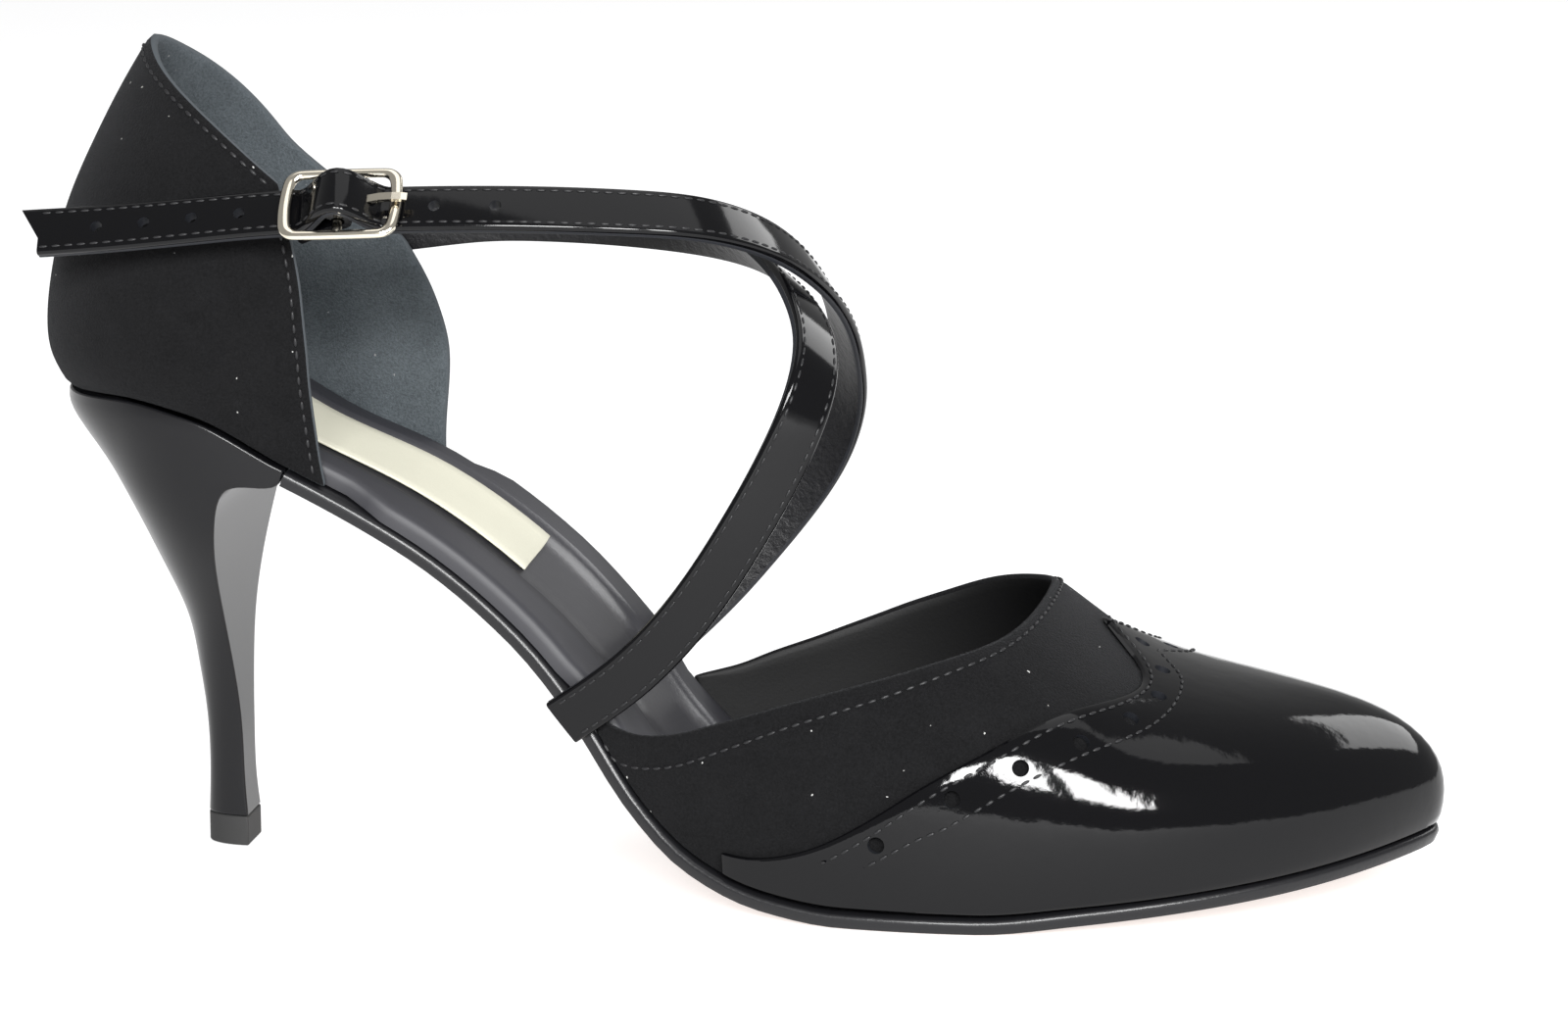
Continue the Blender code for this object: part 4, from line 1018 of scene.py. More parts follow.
MAKERS = {
    "black_suede": lambda: suede("black_suede", (0.0010, 0.0010, 0.0012), (0.0060, 0.0060, 0.0066)),
    "slate_suede": lambda: suede("slate_suede", (0.032, 0.038, 0.042), (0.074, 0.085, 0.093), 0.4),
    "slate_edge": lambda: leather("slate_edge", (0.045, 0.052, 0.058), 0.75),
    "dark_edge": lambda: leather("dark_edge", (0.010, 0.011, 0.014), 0.55),
    "black_patent": lambda: patent("black_patent"),
    "strap_patent": lambda: patent("strap_patent", 0.00003, 180.0, 0.10),
    "black_lining": lambda: leather("black_lining", (0.0018, 0.0018, 0.002), 0.6),
    "strap_lining": lambda: leather("strap_lining", (0.004, 0.004, 0.005), 0.45, 700.0, 0.0004),
    "insole_leather": lambda: leather("insole_leather", (0.003, 0.003, 0.0034), 0.5, 1500.0, 0.00008),
    "channel_leather": lambda: leather("channel_leather", (0.030, 0.030, 0.034), 0.30, 1500.0, 0.00006, 0.3),
    "sole_edge": lambda: leather("sole_edge", (0.006, 0.006, 0.007), 0.34, 1200.0, 0.00008, 0.2),
    "sole_tan": lambda: leather("sole_tan", (0.42, 0.25, 0.16), 0.6, 900.0, 0.00010),
    "heel_lacquer": lambda: lacquer("heel_lacquer", (0.0035, 0.0035, 0.0042), 0.24),
    "top_piece_plastic": lambda: leather("top_piece_plastic", (0.012, 0.012, 0.013), 0.45, 1800.0, 0.00002),
    "thread": lambda: leather("thread", (0.011, 0.011, 0.012), 0.40, 4000.0, 0.00005),
    "pale_metal": lambda: metal("pale_metal", (0.88, 0.81, 0.70), 0.16),
    "label_paper": lambda: paper("label_paper", (0.50, 0.49, 0.40)),
}


def finish_for(name):
    return bpy.data.materials.get(name) or MAKERS[name]()


# Mesh helpers

def show(name, bm, finishes, sharp=35.0, turn_out=True):
    """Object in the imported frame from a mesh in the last's own coordinates."""
    bmesh.ops.remove_doubles(bm, verts=bm.verts, dist=0.005 * MM)
    bmesh.ops.translate(bm, verts=bm.verts, vec=SHIFT)
    if turn_out:
        bmesh.ops.recalc_face_normals(bm, faces=bm.faces)
    mesh = bpy.data.meshes.new(name)
    bm.to_mesh(mesh)
    bm.free()
    mesh.shade_smooth()
    mesh.set_sharp_from_angle(angle=math.radians(sharp))
    item = bpy.data.objects.new(name, mesh)
    bpy.context.scene.collection.objects.link(item)
    for finish in finishes:
        mesh.materials.append(finish_for(finish))
    return item


def carry(item, slot, *nodes):
    """The piece rides on the shoe and stands for its solids; its slot is not used."""
    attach(item, "root")
    if nodes:
        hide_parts(*nodes)
    return item


def settle(item):
    """Turn the modifiers' result into the object's own mesh."""
    graph = bpy.context.evaluated_depsgraph_get()
    mesh = bpy.data.meshes.new_from_object(item.evaluated_get(graph))
    item.modifiers.clear()
    item.data = mesh
    return item


def round_off(item, levels=1):
    smooth = item.modifiers.new("smooth", "SUBSURF")
    smooth.levels = levels
    smooth.render_levels = levels


def bevel(item, width, segments=2, angle=40.0):
    edge = item.modifiers.new("edge", "BEVEL")
    edge.width = width
    edge.segments = segments
    edge.profile = 0.5
    edge.limit_method = "ANGLE"
    edge.angle_limit = math.radians(angle)
    edge.material = -1


def cut_away(item, cutter):
    cut = item.modifiers.new("cut", "BOOLEAN")
    cut.operation = "DIFFERENCE"
    cut.solver = "EXACT"
    cut.object = cutter
    settle(item)
    item.data.set_sharp_from_angle(angle=math.radians(35.0))
    bpy.data.objects.remove(cutter, do_unlink=True)


def grid_faces(bm, rows, closed=False, slots=None):
    """Faces between rows of points; slots gives the material of each column."""
    made = [[bm.verts.new(point) for point in row] for row in rows]
    for first, second in zip(made, made[1:]):
        count = len(first) if closed else len(first) - 1
        for i in range(count):
            j = (i + 1) % len(first)
            face = bm.faces.new((first[i], first[j], second[j], second[i]))
            if slots:
                face.material_index = slots[i]
    return made


def skin_sheet(name, rows, push, wall, finishes):
    """Sheet of the upper with a wall: outer face, lining and edge in three finishes."""
    bm = bmesh.new()
    grid_faces(bm, rows)
    bmesh.ops.remove_doubles(bm, verts=bm.verts, dist=0.02 * MM)
    bmesh.ops.recalc_face_normals(bm, faces=bm.faces)
    middle = Vector((0.5 * LENGTH, 0.0, 0.0))
    outward = sum(face.normal.dot(face.calc_center_median() - middle) * face.calc_area() for face in bm.faces)
    if outward < 0.0:
        bmesh.ops.reverse_faces(bm, faces=bm.faces)
    bm.normal_update()
    moves = [(vert, vert.normal * push) for vert in bm.verts]
    for vert, move in moves:
        vert.co += move
    item = show(name, bm, finishes, 80.0, turn_out=False)
    thick = item.modifiers.new("wall", "SOLIDIFY")
    thick.thickness = wall
    thick.offset = -1.0
    thick.use_even_offset = True
    thick.use_quality_normals = True
    thick.material_offset = 1
    thick.material_offset_rim = 2
    return item


def frames_of(place, values, step):
    """Points and outward normals of a surface given by a function of two values."""
    track = []
    for u, v in values:
        here = place(u, v)
        run = place(u + step[0], v) - place(u - step[0], v)
        rise = place(u, v + step[1]) - place(u, v - step[1])
        track.append([here, run.cross(rise).normalized()])
    return track


def on_skin(points, lift):
    """Track on the upper over flat points: points lifted off the skin, and normals."""
    track = frames_of(lambda x, y: skin_at(Vector((x, y))), [tuple(p) for p in points], (0.4 * MM, 0.4 * MM))
    result = []
    for here, normal in track:
        if normal.z < 0.0 and abs(normal.z) > 0.05:
            normal = -normal
        result.append((here + normal * lift, normal))
    return result


def beside(points, distance):
    """Flat line moved to the right of its run."""
    moved = []
    for i, point in enumerate(points):
        run = (points[min(i + 1, len(points) - 1)] - points[max(i - 1, 0)]).normalized()
        moved.append(point + Vector((run.y, -run.x)) * distance)
    return moved


def wing_line():
    """Flat line of the second stitch row, from outer rear end to inner rear end."""
    steps = np.arange(len(WING_ROW), dtype=float)
    stations = spline(steps, column(WING_ROW, 0))
    ways = spline(steps, column(WING_ROW, 1))
    fine = np.linspace(0.0, len(WING_ROW) - 1.0, 120)
    halves = []
    for side in (-1, 1):
        halves.append([laid_flat(way_at(float(stations(t))), side, max(float(ways(t)), 0.0)) for t in fine])
    return halves[0] + halves[1][-2::-1]


# Thread: half height and lift off the leather, as shares of its width
THREAD_HEIGHT = 0.42
THREAD_LIFT = 0.12


def sew(name, tracks, length, pitch, width, finish="thread"):
    """Stitches along tracks of points and normals."""
    bm = bmesh.new()
    for track in tracks:
        points = np.array([tuple(p) for p, n in track])
        normals = np.array([tuple(n) for p, n in track])
        runs = np.concatenate(([0.0], np.cumsum(np.linalg.norm(np.diff(points, axis=0), axis=1))))
        count = max(int(runs[-1] / pitch), 1)
        for i in range(count):
            mark = (i + 0.5) * runs[-1] / count
            at = [Vector([np.interp(m, runs, points[:, axis]) for axis in range(3)])
                  for m in (mark - 0.3 * MM, mark, mark + 0.3 * MM)]
            normal = Vector([np.interp(mark, runs, normals[:, axis]) for axis in range(3)]).normalized()
            ahead = (at[2] - at[0]).normalized()
            side = normal.cross(ahead).normalized()
            axes = Matrix((ahead * 0.5 * length, side * 0.5 * width, normal * THREAD_HEIGHT * width))
            turn = axes.transposed().to_4x4()
            place = Matrix.Translation(at[1] + normal * width * THREAD_LIFT)
            bmesh.ops.create_uvsphere(bm, u_segments=8, v_segments=6, radius=1.0, matrix=place @ turn)
    return show(name, bm, (finish,), 80.0)


def punch(name, spots, radius, depth=4.0 * MM, segments=24):
    """Cutter with one round pin at each point and normal."""
    bm = bmesh.new()
    for here, normal in spots:
        turn = normal.to_track_quat("Z", "Y").to_matrix().to_4x4()
        bmesh.ops.create_cone(bm, cap_ends=True, segments=segments, radius1=radius, radius2=radius,
                              depth=depth, matrix=Matrix.Translation(here) @ turn)
    return show(name, bm, ("dark_edge",))


# Settings

class StitchSettings(bpy.types.PropertyGroup):
    """Thread of the seams."""

    length: bpy.props.FloatProperty(
        name="Length", description="Length of one stitch", default=1.55 * MM, unit="LENGTH")
    pitch: bpy.props.FloatProperty(
        name="Pitch", description="Distance from stitch to stitch", default=2.1 * MM, unit="LENGTH")
    width: bpy.props.FloatProperty(
        name="Width", description="Width of the thread", default=0.55 * MM, unit="LENGTH")
    margin: bpy.props.FloatProperty(
        name="Margin", description="Distance from the edge", default=1.4 * MM, unit="LENGTH")


class DetailSettings(bpy.types.PropertyGroup):
    """Punched holes and mesh density."""

    wing_hole: bpy.props.FloatProperty(
        name="Wing hole", description="Radius of the cap's holes", default=1.35 * MM, unit="LENGTH")
    strap_hole: bpy.props.FloatProperty(
        name="Strap hole", description="Radius of the strap's holes", default=0.95 * MM, unit="LENGTH")
    along: bpy.props.IntProperty(
        name="Along", description="Rows of the upper round the toe", default=116, min=40)
    across: bpy.props.IntProperty(
        name="Across", description="Rows from sole to edge", default=18, min=8)


class StageSettings(bpy.types.PropertyGroup):
    """Camera and light."""

    distance: bpy.props.FloatProperty(
        name="Distance", description="Camera to aim point", default=0.8, unit="LENGTH")
    azimuth: bpy.props.FloatProperty(
        name="Azimuth", description="Camera round the shoe, degrees", default=9.0)
    elevation: bpy.props.FloatProperty(
        name="Elevation", description="Camera above the floor, degrees", default=12.0)
    aim_height: bpy.props.FloatProperty(
        name="Aim height", description="Height looked at", default=58.0 * MM, unit="LENGTH")
    aim_back: bpy.props.FloatProperty(
        name="Aim place", description="Aim point ahead of the seat's back", default=118.5 * MM, unit="LENGTH")
    lens: bpy.props.FloatProperty(name="Lens", description="Focal length on a 36 mm sensor", default=113.4)
    key_power: bpy.props.FloatProperty(name="Key", description="Power of the front softbox", default=13.0)
    top_power: bpy.props.FloatProperty(name="Top", description="Power of the overhead softbox", default=7.0)


# Pieces

class SHOE_OT_upper(bpy.types.Operator):
    """Build the vamp and the wing cap with their seams and punched holes"""

    bl_idname = "shoe.upper"
    bl_label = "Vamp and toe cap"

    def execute(self, context):
        stitch = context.scene.shoe_stitch
        detail = context.scene.shoe_detail
        rows = upper_rows(TOPLINE, detail.along, detail.across)
        vamp = skin_sheet("vamp_skin", rows, 0.0, VAMP_WALL, ("black_suede", "black_lining", "black_suede"))
        round_off(vamp)
        carry(settle(vamp), "suede", "vamp")
        rows = upper_rows(CAP_EDGE, detail.along, detail.across, foot=0.992, corner=True)
        lift = 1.5 * FIT + CAP_WALL
        finishes = ("black_patent", "dark_edge", "black_patent")
        cap = skin_sheet("wing_cap", rows, lift, CAP_WALL + FIT, finishes)
        round_off(cap)
        settle(cap)
        spots = [laid_flat(way_at(station), side, way) for station, way, side in WING_HOLES]
        cut_away(cap, punch("wing_punch", on_skin(spots, lift), detail.wing_hole))
        carry(cap, "patent", "toe_cap")
        topline = beside(edge_line(TOPLINE, 10), stitch.margin)
        cap_edge = beside(edge_line(CAP_EDGE, 10, True), 0.8 * stitch.margin)
        tracks = [on_skin(topline[3:-3], 0.0)]
        carry(sew("topline_seam", tracks, stitch.length, stitch.pitch, stitch.width), "suede")
        tracks = [on_skin(cap_edge[4:-4], lift), on_skin(wing_line()[2:-2], lift)]
        carry(sew("cap_seams", tracks, stitch.length, stitch.pitch, stitch.width), "patent")
        return {"FINISHED"}


class SHOE_OT_counter(bpy.types.Operator):
    """Build the pointed counter with its lining and edge seam"""

    bl_idname = "shoe.counter"
    bl_label = "Counter"

    def execute(self, context):
        stitch = context.scene.shoe_stitch
        around = np.linspace(1.0, 0.0, 30)
        shares = np.linspace(0.0, 1.0, 24)
        rows = [[counter_point(-1, r, s) for s in shares] for r in around]
        rows += [[counter_point(1, r, s) for s in shares] for r in around[-2::-1]]
        finishes = ("black_suede", "slate_suede", "slate_edge")
        shell = skin_sheet("counter_skin", rows, 0.0, COUNTER_WALL, finishes)
        round_off(shell)
        carry(settle(shell), "suede", "counter")
        tracks = []
        for side in (-1, 1):
            front = [(0.972, s) for s in np.linspace(0.03, 0.955, 40)]
            top = [(r, 0.965) for r in np.linspace(0.965, 0.03, 50)]
            for values in (front, top):
                track = frames_of(lambda r, s: counter_point(side, r, s), values, (0.01, 0.01))
                track = [(p, n if n.y * side > 0.0 else -n) for p, n in track]
                tracks.append(track)
        carry(sew("counter_seams", tracks, stitch.length, stitch.pitch, stitch.width), "suede")
        return {"FINISHED"}


STRAP_PROFILE = (
    # breadth as a share of the half width, out as a share of the half thickness, finish of the run after it
    (-0.86, -1.00, 1),
    (-0.40, -0.97, 1),
    (0.00, -0.96, 1),
    (0.40, -0.97, 1),
    (0.86, -1.00, 2),
    (0.96, -0.92, 2),
    (0.985, -0.60, 2),
    (0.975, -0.22, 2),
    (0.955, -0.12, 0),
    (0.990, -0.02, 0),
    (1.000, 0.30, 0),
    (0.975, 0.68, 0),
    (0.920, 0.90, 0),
    (0.840, 0.985, 0),
    (0.740, 0.960, 0),
    (0.640, 1.000, 0),
    (0.000, 1.030, 0),
    (-0.640, 1.000, 0),
    (-0.740, 0.960, 0),
    (-0.840, 0.985, 0),
    (-0.920, 0.90, 0),
    (-0.975, 0.68, 0),
    (-1.000, 0.30, 0),
    (-0.990, -0.02, 0),
    (-0.955, -0.12, 2),
    (-0.975, -0.22, 2),
    (-0.985, -0.60, 2),
    (-0.96, -0.92, 1),
)


def strap_line(table, count, middle=None):
    """Frames along a strap, swollen over the buckle's bar where a middle is given."""
    length = float(strap_runs(table)[1][-1])
    marks = [length * i / count for i in range(count + 1)]
    frames = strap_frames(table, lambda run: marks)
    if middle is None:
        return frames, marks
    centers = [frame[0] + frame[3] * buckle_wave(mark - middle) for mark, frame in zip(marks, frames)]
    turned = []
    for i, (center, frame) in enumerate(zip(centers, frames)):
        ahead = (centers[min(i + 1, count)] - centers[max(i - 1, 0)]).normalized()
        face = (frame[3] - ahead * frame[3].dot(ahead)).normalized()
        turned.append((center, ahead, face.cross(ahead), face))
    return turned, marks


def strap_body(name, frames, slant):
    """Band of patent leather folded over an edge, with its lining beneath."""
    half = 0.5 * STRAP_WIDTH
    thick = 0.5 * STRAP_THICKNESS
    rings = []
    for i, (center, ahead, breadth, face) in enumerate(frames):
        lean = slant if i == len(frames) - 1 else 0.0
        rings.append([center + breadth * b * half + face * f * thick + ahead * lean * b
                      for b, f, finish in STRAP_PROFILE])
    bm = bmesh.new()
    made = grid_faces(bm, rings, closed=True, slots=[row[2] for row in STRAP_PROFILE])
    for ring in (made[0], made[-1]):
        bm.faces.new(ring).material_index = 2
    return show(name, bm, ("strap_patent", "strap_lining", "dark_edge"), 50.0)


def strap_tracks(frames, share=0.74):
    half = 0.5 * STRAP_WIDTH * share
    lift = 0.48 * STRAP_THICKNESS
    return [[(frame[0] + frame[2] * side * half + frame[3] * lift, frame[3]) for frame in frames[1:-1]]
            for side in (-1.0, 1.0)]


class SHOE_OT_straps(bpy.types.Operator):
    """Build both straps with their seams, holes and folded edges"""

    bl_idname = "shoe.straps"
    bl_label = "Straps"

    def execute(self, context):
        stitch = context.scene.shoe_stitch
        detail = context.scene.shoe_detail
        frames, marks = strap_line(CROSS_STRAP, 110)
        carry(strap_body("strap_cross_band", frames, 0.0), "patent", "strap_cross")
        tracks = strap_tracks(frames)
        middle = buckle_mark()
        frames, marks = strap_line(BUCKLE_STRAP, 260, middle)
        band = strap_body("strap_buckle_band", frames, -0.5 * TAIL_SLANT)
        spots = []
        for ahead in STRAP_HOLES + (4.2,):
            i = int(np.argmin([abs(mark - middle + ahead * MM) for mark in marks]))
            spots.append((frames[i][0], frames[i][3]))
        cut_away(band, punch("strap_punch", spots, detail.strap_hole))
        carry(band, "patent", "strap_buckle")
        tracks += strap_tracks(frames)
        width = 0.8 * stitch.width
        carry(sew("strap_seams", tracks, stitch.length, stitch.pitch, width), "patent")
        return {"FINISHED"}


class SHOE_OT_buckle(bpy.types.Operator):
    """Build the buckle's frame with its bar, and give the imported prong and chape their finishes"""

    bl_idname = "shoe.buckle"
    bl_label = "Buckle"

    def execute(self, context):
        half_length = 0.5 * BUCKLE_LENGTH
        half_height = 0.5 * BUCKLE_HEIGHT
        outer = frame_loop(half_length, half_height, 2.4 * MM)
        inner = frame_loop(half_length - BUCKLE_SIDE, half_height - BUCKLE_RAIL, 1.2 * MM)
        half = 0.5 * BUCKLE_THICKNESS
        profile = ((outer, -0.55), (outer, 0.35), ("mix", 1.0), (inner, 0.35), (inner, -0.55), ("mix", -1.0))
        bm = bmesh.new()
        rings = []
        for loop, out in profile:
            if loop == "mix":
                loop = [(0.5 * (a[0] + b[0]), 0.5 * (a[1] + b[1])) for a, b in zip(outer, inner)]
            rings.append([at_buckle(x, y, out * half) for x, y in loop])
        rings.append(rings[0])
        grid_faces(bm, rings, closed=True)
        ring = show("buckle_ring", bm, ("pale_metal",), 60.0)
        round_off(ring, 2)
        carry(settle(ring), "pale_metal", "buckle_frame")
        bm = bmesh.new()
        reach = half_height - 0.5 * BUCKLE_RAIL
        circle = arc(BAR_RADIUS, 0.0, 345.0, 23)
        bar = [[at_buckle(x, up, out) for x, out in circle] for up in (-reach, reach)]
        grid_faces(bm, bar, closed=True)
        carry(show("buckle_bar", bm, ("pale_metal",)), "pale_metal")
        for name, finish in (("buckle_prong", "pale_metal"), ("buckle_chape", "strap_patent")):
            mesh = frame["nodes"][name].data
            mesh.materials.clear()
            mesh.materials.append(finish_for(finish))
        return {"FINISHED"}


def smooth_plate(name, ways, columns, inset, low, belly, slots, finishes, flat_back):
    """Body between two levels over the bed, with a finish for each column of faces."""
    rows = [plate_row(way, columns, inset, low, belly) for way in ways]
    bm = bmesh.new()
    made = grid_faces(bm, rows, closed=True, slots=slots)
    back = made[0]
    for i in range(len(back) // 2 - 1 if flat_back else 0):
        bm.faces.new((back[i], back[i + 1], back[-2 - i], back[-1 - i])).material_index = slots[-1]
    return show(name, bm, finishes, 50.0)


def soft_columns(way, side):
    """Insole: rolled edge, padded side, then down into the channel."""
    reach = (outline(way, side, insole_inset(way, side)) - spine(way)).length
    half = 0.5 * CHANNEL_WIDTH
    outer = min((half + 1.0 * MM) / reach, 0.84)
    inner = min((half - 1.0 * MM) / reach, 0.72)
    top = FIT + INSOLE_THICKNESS
    low = top - CHANNEL_DEPTH
    rim = outer + 0.35 * (0.93 - outer)
    swell = outer + 0.7 * (0.93 - outer)
    return ((1.0, top - 1.6 * MM), (0.992, top - 0.7 * MM), (0.97, top - 0.15 * MM), (0.93, top),
            (swell, top), (rim, top), (outer, top), (0.5 * (outer + inner), 0.5 * (top + low)),
            (inner, low), (0.55 * inner, low), (0.0, low))


def edge_columns(way, side):
    """Outsole: rounded welt, then flat."""
    return ((1.0, -1.15 * MM), (0.996, -0.45 * MM), (0.98, -0.06 * MM), (0.95, 0.0), (0.86, 0.0),
            (0.68, 0.0), (0.45, 0.0), (0.0, 0.0))


class SHOE_OT_sole(bpy.types.Operator):
    """Build the insole with its channel and the outsole"""

    bl_idname = "shoe.sole"
    bl_label = "Sole"

    def execute(self, context):
        ways = [w / 88 for w in (0, 0.3, 0.65, *range(1, 88), 87.4, 87.75, 88)]
        side = [0] * 6 + [1] * 4
        slots = side + side[::-1] + [0] + [0] * 20 + [0]
        insole = smooth_plate("insole_pad", ways, soft_columns, insole_inset, FIT, 0.0, slots,
                              ("insole_leather", "channel_leather"), False)
        carry(insole, "insole_leather", "insole")
        start = way_at(BREAST_STATION / LENGTH)
        ways = [start] + [way for way in ways if way > start + 0.004]
        slots = [0] * 14 + [0] + [0] + [1] * 12 + [0] + [0]
        sole = smooth_plate("outsole_plate", ways, edge_columns, sole_inset, -OUTSOLE_THICKNESS, 0.8 * MM,
                            slots, ("sole_edge", "sole_tan"), True)
        carry(sole, "sole_leather", "outsole")
        carry(self.blank_label(), "label_strip", "label")
        return {"FINISHED"}


    def blank_label(self):
        """Plain strip glued into the channel, its rear end under the counter."""
        low = FIT + INSOLE_THICKNESS - CHANNEL_DEPTH + FIT
        rows = []
        for station in np.linspace(STRIP_START, LABEL_END, 24):
            way = way_at(station)
            row = []
            for share in np.linspace(-1.0, 1.0, 9):
                y = 0.6 * LABEL_SHIFT + 0.5 * share * STRIP_WIDTH
                side = 1 if y > 0.0 else -1
                x, z = bed(station * LENGTH, side * abs(y) / (outline(way, side) - spine(way)).length, low)
                row.append(Vector((x, y, z)))
            rows.append(row)
        bm = bmesh.new()
        grid_faces(bm, rows)
        bmesh.ops.recalc_face_normals(bm, faces=bm.faces)
        bm.normal_update()
        if sum(face.normal.z for face in bm.faces) < 0.0:
            bmesh.ops.reverse_faces(bm, faces=bm.faces)
        strip = show("label_blank", bm, ("label_paper",), turn_out=False)
        thick = strip.modifiers.new("wall", "SOLIDIFY")
        thick.thickness = LABEL_THICKNESS
        thick.offset = 1.0
        bevel(strip, 0.12 * MM)
        return settle(strip)


class SHOE_OT_heel(bpy.types.Operator):
    """Build the lacquered heel and its top piece"""

    bl_idname = "shoe.heel"
    bl_label = "Heel"

    def execute(self, context):
        count = 48
        knots = [row[0] for row in HEEL_SECTIONS] + [0.952, 1.0]
        low = TOP_PIECE_HEIGHT + 0.15 * FIT
        rings = [heel_section(row, count, low + row[0] * (SEAT_HEIGHT - low)) for row in HEEL_SECTIONS]
        rings += [heel_rim(count, -OUTSOLE_THICKNESS), heel_rim(count, 0.2 * FIT)]
        paths = []
        for i in range(len(rings[0])):
            points = np.array([ring[i] for ring in rings])
            paths.append([spline(knots, points[:, axis]) for axis in range(3)])
        levels = np.concatenate((np.linspace(0.0, 0.952, 60), [0.97, 1.0]))
        bm = bmesh.new()
        rows = [[Vector([float(curve(level)) for curve in path]) for path in paths] for level in levels]
        made = grid_faces(bm, rows, closed=True)
        bm.faces.new(made[0])
        bmesh.ops.contextual_create(bm, geom=made[-1])
        heel = show("heel_body", bm, ("heel_lacquer",), 30.0)
        bevel(heel, 0.7 * MM, 3, 50.0)
        carry(settle(heel), "lacquer", "heel")
        rings = [heel_section(HEEL_SECTIONS[0], count, z) for z in (0.0, TOP_PIECE_HEIGHT)]
        bm = bmesh.new()
        made = grid_faces(bm, rings, closed=True)
        bm.faces.new(made[0])
        bm.faces.new(made[-1])
        tip = show("heel_tip", bm, ("top_piece_plastic",), 40.0)
        bevel(tip, 0.25 * MM, 2, 50.0)
        carry(settle(tip), "top_piece_plastic", "top_piece")
        return {"FINISHED"}


# Window panes that shine on the cap: aim, distance, degrees round and up, width and height
PANE_AIM = Vector((0.06, -0.03, 0.03))
PANE_DISTANCE = 1.3
PANE_AZIMUTHS = (-4.0, 13.0, 30.0)
PANE_RISE = 25.0
PANE_SIZE = (0.24, 0.34)


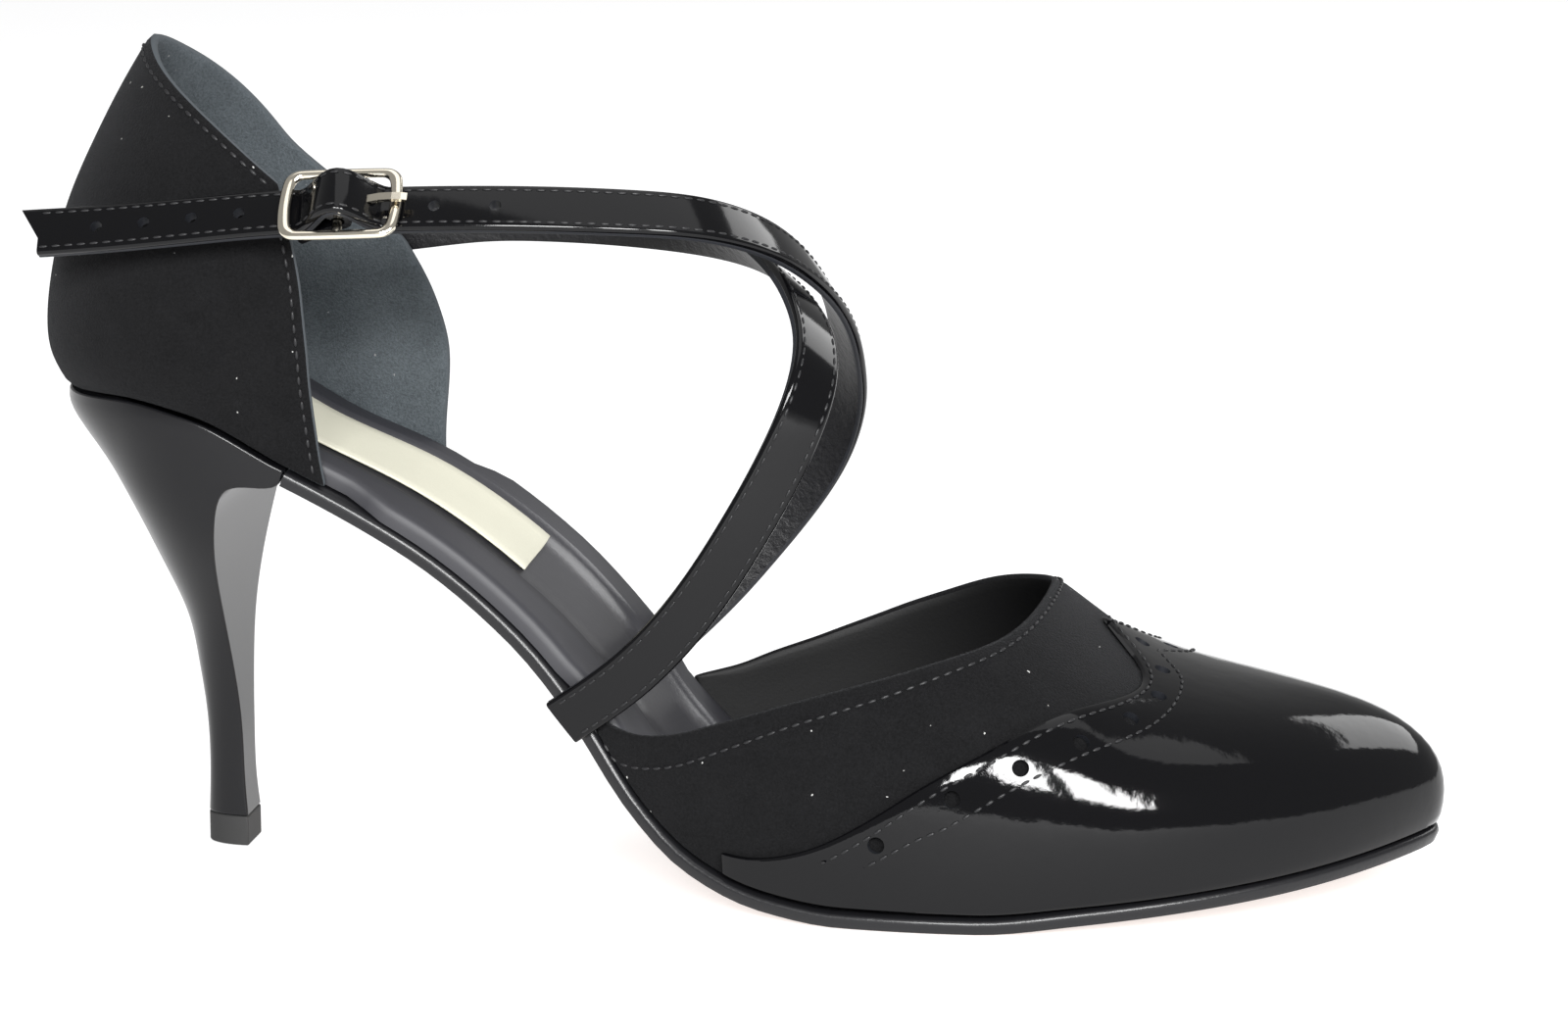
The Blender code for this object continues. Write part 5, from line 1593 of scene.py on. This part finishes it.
class SHOE_OT_stage(bpy.types.Operator):
    """Set the camera, the pale floor and the soft light"""

    bl_idname = "shoe.stage"
    bl_label = "Stage"

    def execute(self, context):
        stage = context.scene.shoe_stage
        aim = Vector((stage.aim_back, 0.0, stage.aim_height)) + SHIFT
        turn = math.radians(stage.azimuth)
        rise = math.radians(stage.elevation)
        back = Vector((math.sin(turn) * math.cos(rise), -math.cos(turn) * math.cos(rise), math.sin(rise)))
        data = bpy.data.cameras.new("camera")
        data.sensor_width = 36.0
        data.lens = stage.lens
        data.clip_start = 0.01
        data.clip_end = 50.0
        camera = bpy.data.objects.new("camera", data)
        camera.location = aim + back * stage.distance
        camera.rotation_euler = (-back).to_track_quat("-Z", "Y").to_euler()
        context.scene.collection.objects.link(camera)
        context.scene.camera = camera
        bm = bmesh.new()
        bmesh.ops.create_grid(bm, x_segments=2, y_segments=2, size=6.0)
        mesh = bpy.data.meshes.new("floor")
        bm.to_mesh(mesh)
        bm.free()
        floor = bpy.data.objects.new("floor", mesh)
        floor.location.z = -0.0002
        context.scene.collection.objects.link(floor)
        finish, tree, shader = new_finish("pale_floor", (0.45, 0.45, 0.455), 0.7)
        shader.inputs["Specular IOR Level"].default_value = 0.2
        shader.inputs["Emission Color"].default_value = (1.0, 1.0, 1.0, 1.0)
        shader.inputs["Emission Strength"].default_value = 0.68
        mesh.materials.append(finish)
        self.softbox("top_box", (0.10, 0.05, 1.5), (0.05, 0.0, 0.0), 1.6, 1.2, stage.top_power)
        rise = math.radians(PANE_RISE)
        level = math.cos(rise)
        for azimuth in PANE_AZIMUTHS:
            turn = math.radians(azimuth)
            away = Vector((math.sin(turn) * level, -math.cos(turn) * level, math.sin(rise)))
            place = PANE_AIM + PANE_DISTANCE * away
            self.softbox("pane", place, PANE_AIM, *PANE_SIZE, stage.key_power)
        self.softbox("rim_box", (0.9, 0.9, 0.9), (0.0, 0.0, 0.05), 0.8, 0.6, 0.5 * stage.key_power)
        world = bpy.data.worlds.new("studio")
        world.use_nodes = True
        sky = world.node_tree.nodes["Background"]
        sky.inputs["Color"].default_value = (1.0, 1.0, 1.0, 1.0)
        sky.inputs["Strength"].default_value = 0.35
        context.scene.world = world
        context.scene.view_settings.view_transform = "Standard"
        return {"FINISHED"}

    def softbox(self, name, place, aim, width, height, power):
        data = bpy.data.lights.new(name, "AREA")
        data.shape = "RECTANGLE"
        data.size = width
        data.size_y = height
        data.energy = power
        light = bpy.data.objects.new(name, data)
        light.location = place
        away = Vector(aim) - Vector(place)
        light.rotation_euler = away.to_track_quat("-Z", "Y").to_euler()
        bpy.context.scene.collection.objects.link(light)


class SHOE_PT_panel(bpy.types.Panel):
    """Sizes and buttons of the shoe"""

    bl_label = "Tango shoe"
    bl_idname = "SHOE_PT_panel"
    bl_space_type = "VIEW_3D"
    bl_region_type = "UI"
    bl_category = "Shoe"

    def draw(self, context):
        for settings in (context.scene.shoe_stitch, context.scene.shoe_detail, context.scene.shoe_stage):
            box = self.layout.box()
            for name in settings.__annotations__:
                box.prop(settings, name)
        for operator in OPERATORS:
            self.layout.operator(operator.bl_idname)


OPERATORS = (SHOE_OT_stage, SHOE_OT_upper, SHOE_OT_counter, SHOE_OT_straps, SHOE_OT_buckle, SHOE_OT_sole,
             SHOE_OT_heel)
CLASSES = (StitchSettings, DetailSettings, StageSettings, *OPERATORS, SHOE_PT_panel)


def register():
    for item in CLASSES:
        bpy.utils.register_class(item)
    bpy.types.Scene.shoe_stitch = bpy.props.PointerProperty(type=StitchSettings)
    bpy.types.Scene.shoe_detail = bpy.props.PointerProperty(type=DetailSettings)
    bpy.types.Scene.shoe_stage = bpy.props.PointerProperty(type=StageSettings)


def unregister():
    del bpy.types.Scene.shoe_stage
    del bpy.types.Scene.shoe_detail
    del bpy.types.Scene.shoe_stitch
    for item in reversed(CLASSES):
        bpy.utils.unregister_class(item)


def main():
    register()
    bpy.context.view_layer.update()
    bpy.ops.shoe.stage()
    bpy.ops.shoe.upper()
    bpy.ops.shoe.counter()
    bpy.ops.shoe.straps()
    bpy.ops.shoe.buckle()
    bpy.ops.shoe.sole()
    bpy.ops.shoe.heel()


if __name__ == "__main__":
    main()
